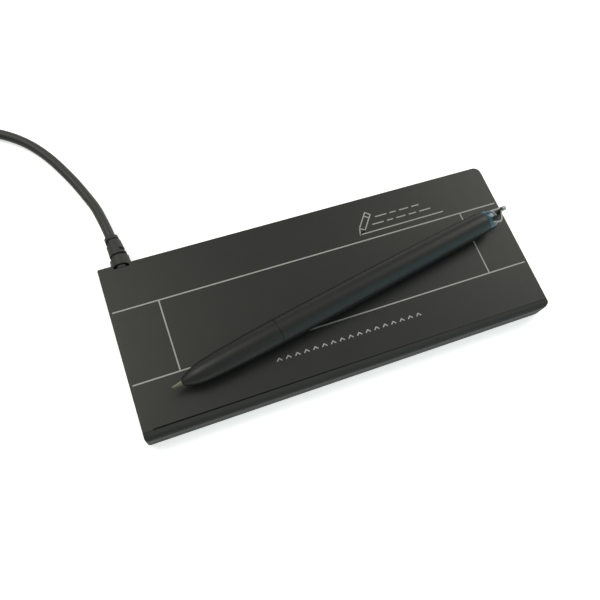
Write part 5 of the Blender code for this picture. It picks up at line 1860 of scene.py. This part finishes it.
@dataclass
class Pen:
    """The pen along its own axis: point, front section, barrel, rod and tail cap.

    Attributes:
        eye_at: Distance of the ring's eye from the point.
        nose_start: Where the front section starts.
        seam: Where the front section meets the barrel.
        bore: Radius of the barrel's bore.
        rod_bore: Radius of the front section's bore.
        nose_wall: Wall of the nose's rim.
        clearance: Clearance between the bore and the spigots in it.
        edge: Radius of the moulded edges.
        seam_fill: How far the moulded ends reach into the frame's gaps at the seams.
        slot: The eye slot's lower and upper side.
        face: Height of the eye's flat face.
        eye: Radius of the eye.
        shoulder: Length of the cap's shoulder before its dome.
        cap_gap: The frame's gap between the barrel and the cap.
        cap_socket: Depth of the socket for the rod.
        cap_edge: Radius of the edges that are cut into the cap.
        overrun: How far the cutters reach past what they cut.
        tip: Radius of the point's rounded end, as a share of the point's radius.
        tip_turn: The angle that the rounded end covers.
        stem: Radius of the point's stem.
        point_band: How far before the nose the point's full radius starts and ends.
        spacing: Spacing of the points of an outer profile.
        nose_shares: Shares of the front section's length and of its growth in radius.
        barrel_shares: The same for the barrel.
        dome_shares: The same for the cap's dome.
    """

    eye_at: float = 143.4 * MM
    nose_start: float = 4.3 * MM
    seam: float = 42.4 * MM
    bore: float = 3.6 * MM
    rod_bore: float = 1.1 * MM
    nose_wall: float = 0.25 * MM
    clearance: float = 0.3 * MM
    edge: float = 0.12 * MM
    seam_fill: float = 0.18 * MM
    slot: tuple[float, float] = (-3.0 * MM, -0.7 * MM)
    face: float = 2.3 * MM
    eye: float = 0.75 * MM
    shoulder: float = 1.5 * MM
    cap_gap: float = 0.3 * MM
    cap_socket: float = 6.0 * MM
    cap_edge: float = 0.14 * MM
    overrun: float = 1.0 * MM
    tip: float = 0.5
    tip_turn: float = 78 * DEGREE
    stem: float = 0.8 * MM
    point_band: tuple[float, float] = (0.6 * MM, 0.3 * MM)
    spacing: float = 0.6 * MM

    nose_shares = (
        (0.00, 0.00),
        (0.045, 0.24),
        (0.11, 0.49),
        (0.18, 0.65),
        (0.30, 0.77),
        (0.50, 0.88),
        (0.76, 0.97),
        (1.00, 1.00),
    )
    barrel_shares = (
        (0.00, 0.86),
        (0.18, 1.00),
        (0.58, 1.00),
        (0.80, 0.78),
        (0.93, 0.50),
        (0.98, 0.25),
        (1.00, 0.00),
    )
    dome_shares = (
        (0.00, 1.00),
        (0.40, 0.92),
        (0.70, 0.76),
        (0.90, 0.50),
        (0.98, 0.25),
        (1.00, 0.00),
    )

    def __post_init__(self) -> None:
        """Finds the pen's axis from the ring's joint."""
        ring = joint_named("ring_swing")
        eye = Vector(ring["pos_m"])
        side = -Vector(ring["axis"]).normalized()
        along = side.cross(Vector((0.0, 0.0, 1.0))).normalized()
        self.axis = Axis(eye - along * self.eye_at, along, side)

    def outer(
        self, shares: Sequence[Sequence[float]], start: float, end: float, low: float, high: float
    ) -> Outline:
        """Draws a smooth outer profile, from the start to the end.

        Args:
            shares: Shares of the length and of the growth in radius.
            start: Where the profile starts along the axis.
            end: Where it ends.
            low: The radius at a growth of zero.
            high: The radius at a growth of one.

        Returns:
            Radii and heights.
        """
        growth, length = high - low, end - start
        knots = [(low + growth * grown, start + length * along) for along, grown in shares]
        return [tuple(point) for point in smooth_line(knots, self.spacing)]

    def build(self) -> None:
        """Makes the pen's pieces."""
        self.point()
        self.front_section()
        self.barrel()
        self.rod()
        self.tail_cap()

    def add(
        self, name: str, mesh: bpy.types.Mesh, finish: Finish, slot: str, node: str
    ) -> bpy.types.Object:
        """Adds a piece on the pen's axis, in place of a CAD node, and returns it."""
        return add_piece(name, mesh, finish, Body.PEN, [node], self.axis.matrix())

    def point(self) -> None:
        """Turns the metal point with its rounded end and its stem."""
        start, end, radius = self.axis.span("pen_point")
        tip, steps = self.tip * radius, 6
        profile = []
        for step in range(steps + 1):
            angle = step / steps * self.tip_turn
            profile.append((tip * math.sin(angle), start + tip * (1 - math.cos(angle))))
        profile += [(radius, self.nose_start - before) for before in self.point_band]
        profile += [(self.stem, self.nose_start), (self.stem, end), (0.0, end)]
        mesh = turned("metal_point", profile, sides=64)
        self.add("metal_point", mesh, POINT_NICKEL, "pen_point", "pen_point")

    def front_section(self) -> None:
        """Turns the tapered front section with its spigot in the barrel."""
        _, end, radius = self.axis.span("pen_front_section")
        rim = self.rod_bore + self.nose_wall
        spigot, meeting = self.bore - self.clearance, self.seam + self.seam_fill
        profile = [
            *self.outer(self.nose_shares, self.nose_start, self.seam, rim, radius),
            (radius, meeting),
            (spigot, meeting),
            (spigot, end),
            (self.rod_bore, end),
            (self.rod_bore, self.nose_start),
        ]
        mesh = turned("front_section", eased(profile, self.edge, closed=True), closed=True)
        self.add("front_section", mesh, PEN_ABS, "pen_plastic", "pen_front_section")

    def barrel(self) -> None:
        """Turns the long barrel."""
        start, end, radius = self.axis.span("pen_barrel")
        end_radius = self.axis.span("pen_tail_cap")[2]
        outer = self.outer(self.barrel_shares, start, end, end_radius, radius)
        profile = [*outer, (self.bore, end), (self.bore, start)]
        mesh = turned("long_barrel", eased(profile, self.edge, closed=True), closed=True)
        self.add("long_barrel", mesh, PEN_ABS, "pen_plastic", "pen_barrel")

    def rod(self) -> None:
        """Turns the rod inside, which carries the point."""
        start, end, radius = self.axis.span("stylus_rod")
        profile = [(0.0, start), (radius, start), (radius, end), (0.0, end)]
        mesh = turned("inner_rod", eased(profile, self.edge), sides=48)
        self.add("inner_rod", mesh, ROD_ACETAL, "rod_plastic", "stylus_rod")

    def tail_cap(self) -> None:
        """Turns the cap and cuts its slotted eye."""
        start, end, radius = self.axis.span("pen_tail_cap")
        seam = self.axis.span("pen_barrel")[1] + self.cap_gap
        dome_start = seam + self.shoulder
        spigot, meeting = self.bore - self.clearance, seam - self.seam_fill
        socket_end = start + self.cap_socket
        profile = [
            (0.0, socket_end),
            (self.rod_bore, socket_end),
            (self.rod_bore, start),
            (spigot, start),
            (spigot, meeting),
            (radius, meeting),
            (radius, seam),
            *self.outer(self.dome_shares, dome_start, end, 0.0, radius),
        ]
        mesh = turned("slotted_cap", eased(profile, self.edge))
        cap = self.add("slotted_cap", mesh, CAP_ABS_PAINTED_REFLECTION, "pen_plastic", "pen_tail_cap")
        wide, top = 2 * radius, end + self.overrun
        slot_low, slot_high = self.slot
        slot = block("slot", (-wide, slot_low, dome_start), (wide, slot_high, top))
        face = block("face", (-wide, self.face, dome_start), (wide, wide, top))
        hole_profile = [(0.0, -wide), (self.eye, -wide), (self.eye, wide), (0.0, wide)]
        hole = turned("hole", hole_profile, sides=32)
        middle = Matrix.Translation((0.0, wide + slot_high - self.overrun, self.eye_at))
        hole.transform(middle @ Matrix.Rotation(QUARTER_TURN, 4, "X"))
        carve(cap, [slot, face, hole], self.cap_edge)


@dataclass
class TetherRing:
    """The wire ring in the cap's eye, and the ferrule that closes it.

    Attributes:
        axis: The pen's axis.
        droop: How far the ring hangs from the pen's axis.
        length: The ring's length from the eye.
        outer_arm: Distance of its outer arm from its middle.
        wire: The wire's radius.
        spacing: Spacing of the points along it.
        edge: Radius of the ferrule's edges.
        crimps: Where the ferrule's crimped grooves lie, as shares of its length.
        crimp: Depth of those grooves.
        crimp_half: Half the width of a groove.
        ferrule: Radius of the ferrule.
        ferrule_trim: How far its end stays behind the frame's.
        shares: Points of the ring: shares of its length and of its outer arm's distance.
    """

    axis: Axis
    droop: float = 20 * DEGREE
    length: float = 10.7 * MM
    outer_arm: float = 3.15 * MM
    wire: float = 0.45 * MM
    spacing: float = 0.15 * MM
    edge: float = 0.35 * MM
    crimps: tuple[float, ...] = (0.35, 0.65)
    crimp: float = 0.12 * MM
    crimp_half: float = 0.3 * MM
    ferrule: float = 1.0 * MM
    ferrule_trim: float = 0.35 * MM

    shares = (
        (1.00, 0.94),
        (0.82, 0.95),
        (0.55, 0.97),
        (0.28, 1.00),
        (0.10, 1.00),
        (0.02, 0.88),
        (0.00, 0.66),
        (0.00, 0.20),
        (0.00, -0.22),
        (0.02, -0.43),
        (0.07, -0.56),
        (0.18, -0.61),
        (0.32, -0.70),
        (0.45, -0.78),
        (0.56, -0.70),
        (0.66, -0.49),
        (0.78, -0.12),
        (0.88, 0.28),
        (0.945, 0.50),
        (1.00, 0.58),
    )

    def build(self) -> None:
        """Bends the wire and closes it with the ferrule."""
        eye = Vector(joint_named("ring_swing")["pos_m"])
        turn = Matrix.Rotation(self.droop, 3, self.axis.side)
        hanging = Axis(eye, turn @ self.axis.along, self.axis.side)
        knots = [(0.0, self.outer_arm * side, self.length * along) for along, side in self.shares]
        line = smooth_line(knots, self.spacing)
        wire = swept("wire_ring", line, lambda index, angle: self.wire, sides=16)
        self.add("wire_ring", wire, "tether_ring", hanging.matrix())
        start, end, _ = hanging.span("ring_ferrule")
        low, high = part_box("ring_ferrule")
        side = ((low + high) / 2 - eye).dot(hanging.side)
        radius = self.ferrule
        end -= self.ferrule_trim
        profile = [(0.0, start), (radius, start)]
        for share in self.crimps:
            at = start + (end - start) * share
            profile += [
                (radius, at - self.crimp_half),
                (radius - self.crimp, at),
                (radius, at + self.crimp_half),
            ]
        profile += [(radius, end), (0.0, end)]
        ferrule = turned("crimped_ferrule", eased(profile, self.edge), sides=48)
        place = hanging.matrix() @ Matrix.Translation((0.0, side, 0.0))
        self.add("crimped_ferrule", ferrule, "ring_ferrule", place)

    def add(self, name: str, mesh: bpy.types.Mesh, node: str, place: Matrix) -> None:
        """Adds a piece of wire that swings in the eye."""
        add_piece(name, mesh, RING_STEEL, Body.RING, [node], place)


# The studio


@dataclass(frozen=True)
class Softbox:
    """A square area lamp that faces the pad.

    Attributes:
        name: The lamp's name.
        place: Where it stands.
        size: The length of its sides.
        power: Its power in watts.
        colour: Its sRGB colour.
    """

    name: str
    place: tuple[float, float, float]
    size: float
    power: float
    colour: str

    def build(self) -> None:
        """Adds the lamp."""
        lamp = bpy.data.lights.new(self.name, "AREA")
        lamp.shape = "SQUARE"
        lamp.size = self.size
        lamp.energy = self.power
        lamp.color = linear(self.colour)[:3]
        stand = bpy.data.objects.new(self.name, lamp)
        stand.location = self.place
        stand.rotation_euler = (-Vector(self.place)).to_track_quat("-Z", "Y").to_euler()
        bpy.context.scene.collection.objects.link(stand)


@dataclass
class Studio:
    """A pale floor, a white surround, and soft lamps.

    Attributes:
        floor_size: The length of the floor's sides.
        floor_colour: The sRGB colour of its paint.
        floor_roughness: The paint's roughness.
        floor_glow: Light that the floor adds where the camera looks at it, which makes it white.
        backdrop: The sRGB colour of the far surround.
        surround: Share of that colour's strength that lights the object.
        lamps: The lamps.
    """

    floor_size: float = 12.0
    floor_colour: str = "#e6e6e6"
    floor_roughness: float = 0.9
    floor_glow: float = 0.6
    backdrop: str = "#d8d9d4"
    surround: float = 0.5
    lamps: list[Softbox] = field(
        default_factory=lambda: [
            Softbox("left_softbox", (-0.55, 0.5, 1.25), 0.7, 8.9, "#fffbf0"),
            Softbox("back_softbox", (-0.95, 0.8, 0.8), 0.8, 1.0, "#fffbf0"),
            Softbox("right_softbox", (1.15, 0.55, 0.95), 0.8, 9.5, "#fffcf2"),
            Softbox("front_softbox", (0.95, -0.85, 0.42), 1.2, 6.4, "#70c8d2"),
        ]
    )

    def build(self) -> None:
        """Makes the floor, the surround and the lamps."""
        shape = bmesh.new()
        bmesh.ops.create_grid(shape, x_segments=1, y_segments=1, size=self.floor_size / 2)
        floor = bpy.data.objects.new("pale_floor", finished_mesh("pale_floor", shape))
        bpy.context.scene.collection.objects.link(floor)
        floor.data.materials.append(self.floor_material())
        self.build_surround()
        for lamp in self.lamps:
            lamp.build()
        bpy.context.scene.view_settings.view_transform = "Standard"

    def seen(self, tree: bpy.types.NodeTree) -> bpy.types.NodeSocket:
        """Tells apart the rays that look at the backdrop, straight or by gloss or glass.

        Args:
            tree: The node tree that asks.

        Returns:
            One for those rays, and zero for the others.
        """
        ways = add_node(tree, "LightPath").outputs
        seen = ways["Is Camera Ray"]
        for way in ("Is Glossy Ray", "Is Transmission Ray"):
            either = add_node(tree, "Math", {"operation": "MAXIMUM"}, {0: seen, 1: ways[way]})
            seen = either.outputs[0]
        return seen

    def floor_material(self) -> bpy.types.Material:
        """Makes the paint of the floor's board: pale, matt, and glowing a little when seen.

        Returns:
            The material.
        """
        made = bpy.data.materials.new("painted_board")
        made.use_nodes = True
        tree = made.node_tree
        shader = tree.nodes["Principled BSDF"]
        shader.inputs["Base Color"].default_value = linear(self.floor_colour)
        shader.inputs["Roughness"].default_value = self.floor_roughness
        shader.inputs["Emission Color"].default_value = linear("#ffffff")
        inputs = {0: self.seen(tree), 1: self.floor_glow}
        glow = add_node(tree, "Math", {"operation": "MULTIPLY"}, inputs)
        tree.links.new(glow.outputs[0], shader.inputs["Emission Strength"])
        return made

    def build_surround(self) -> None:
        """Makes the even pale surround, which lights less than it shows."""
        world = bpy.data.worlds.new("pale_surround")
        world.use_nodes = True
        bpy.context.scene.world = world
        tree = world.node_tree
        inputs = {"Value": self.seen(tree), "To Min": self.surround, "To Max": 1.0}
        strength = add_node(tree, "MapRange", {}, inputs)
        background = tree.nodes["Background"]
        background.inputs["Color"].default_value = linear(self.backdrop)
        tree.links.new(strength.outputs[0], background.inputs["Strength"])


@dataclass
class StudioCamera:
    """The camera, where the photograph was taken from.

    Attributes:
        place: Where it stands.
        target: The point on the table in the middle of the picture.
        roll: How far it is turned about its line of sight.
        lens: Its focal length in millimetres.
        sensor: Its sensor's width in millimetres.
        nearest: The nearest distance that it sees.
    """

    place: tuple[float, float, float] = (-68.33 * MM, -74.15 * MM, 231.81 * MM)
    target: tuple[float, float, float] = (-11.97 * MM, 2.44 * MM, 0.0)
    roll: float = 17.31 * DEGREE
    lens: float = 37.48
    sensor: float = 36.0
    nearest: float = 10 * MM

    def build(self) -> None:
        """Adds the camera and makes it the scene's own."""
        data = bpy.data.cameras.new("studio_camera")
        data.lens = self.lens
        data.sensor_width = self.sensor
        data.clip_start = self.nearest
        camera = bpy.data.objects.new("studio_camera", data)
        place = Vector(self.place)
        look = (Vector(self.target) - place).to_track_quat("-Z", "Y").to_matrix().to_4x4()
        camera.matrix_world = Matrix.Translation(place) @ look @ Matrix.Rotation(self.roll, 4, "Z")
        bpy.context.scene.collection.objects.link(camera)
        bpy.context.scene.camera = camera


def main() -> None:
    """Builds the camera, the cable, the pad, the pen and the studio, in that order."""
    logging.basicConfig(level=logging.INFO, format="%(message)s")
    StudioCamera().build()
    Cable().build([StrainRelief().build(), CoilTie().build(), *Plug().build()])
    PadCase().build()
    Printing().build()
    Underside().build()
    InnerWorks().build()
    pen = Pen()
    pen.build()
    TetherRing(pen.axis).build()
    Studio().build()


if __name__ == "__main__":
    main()
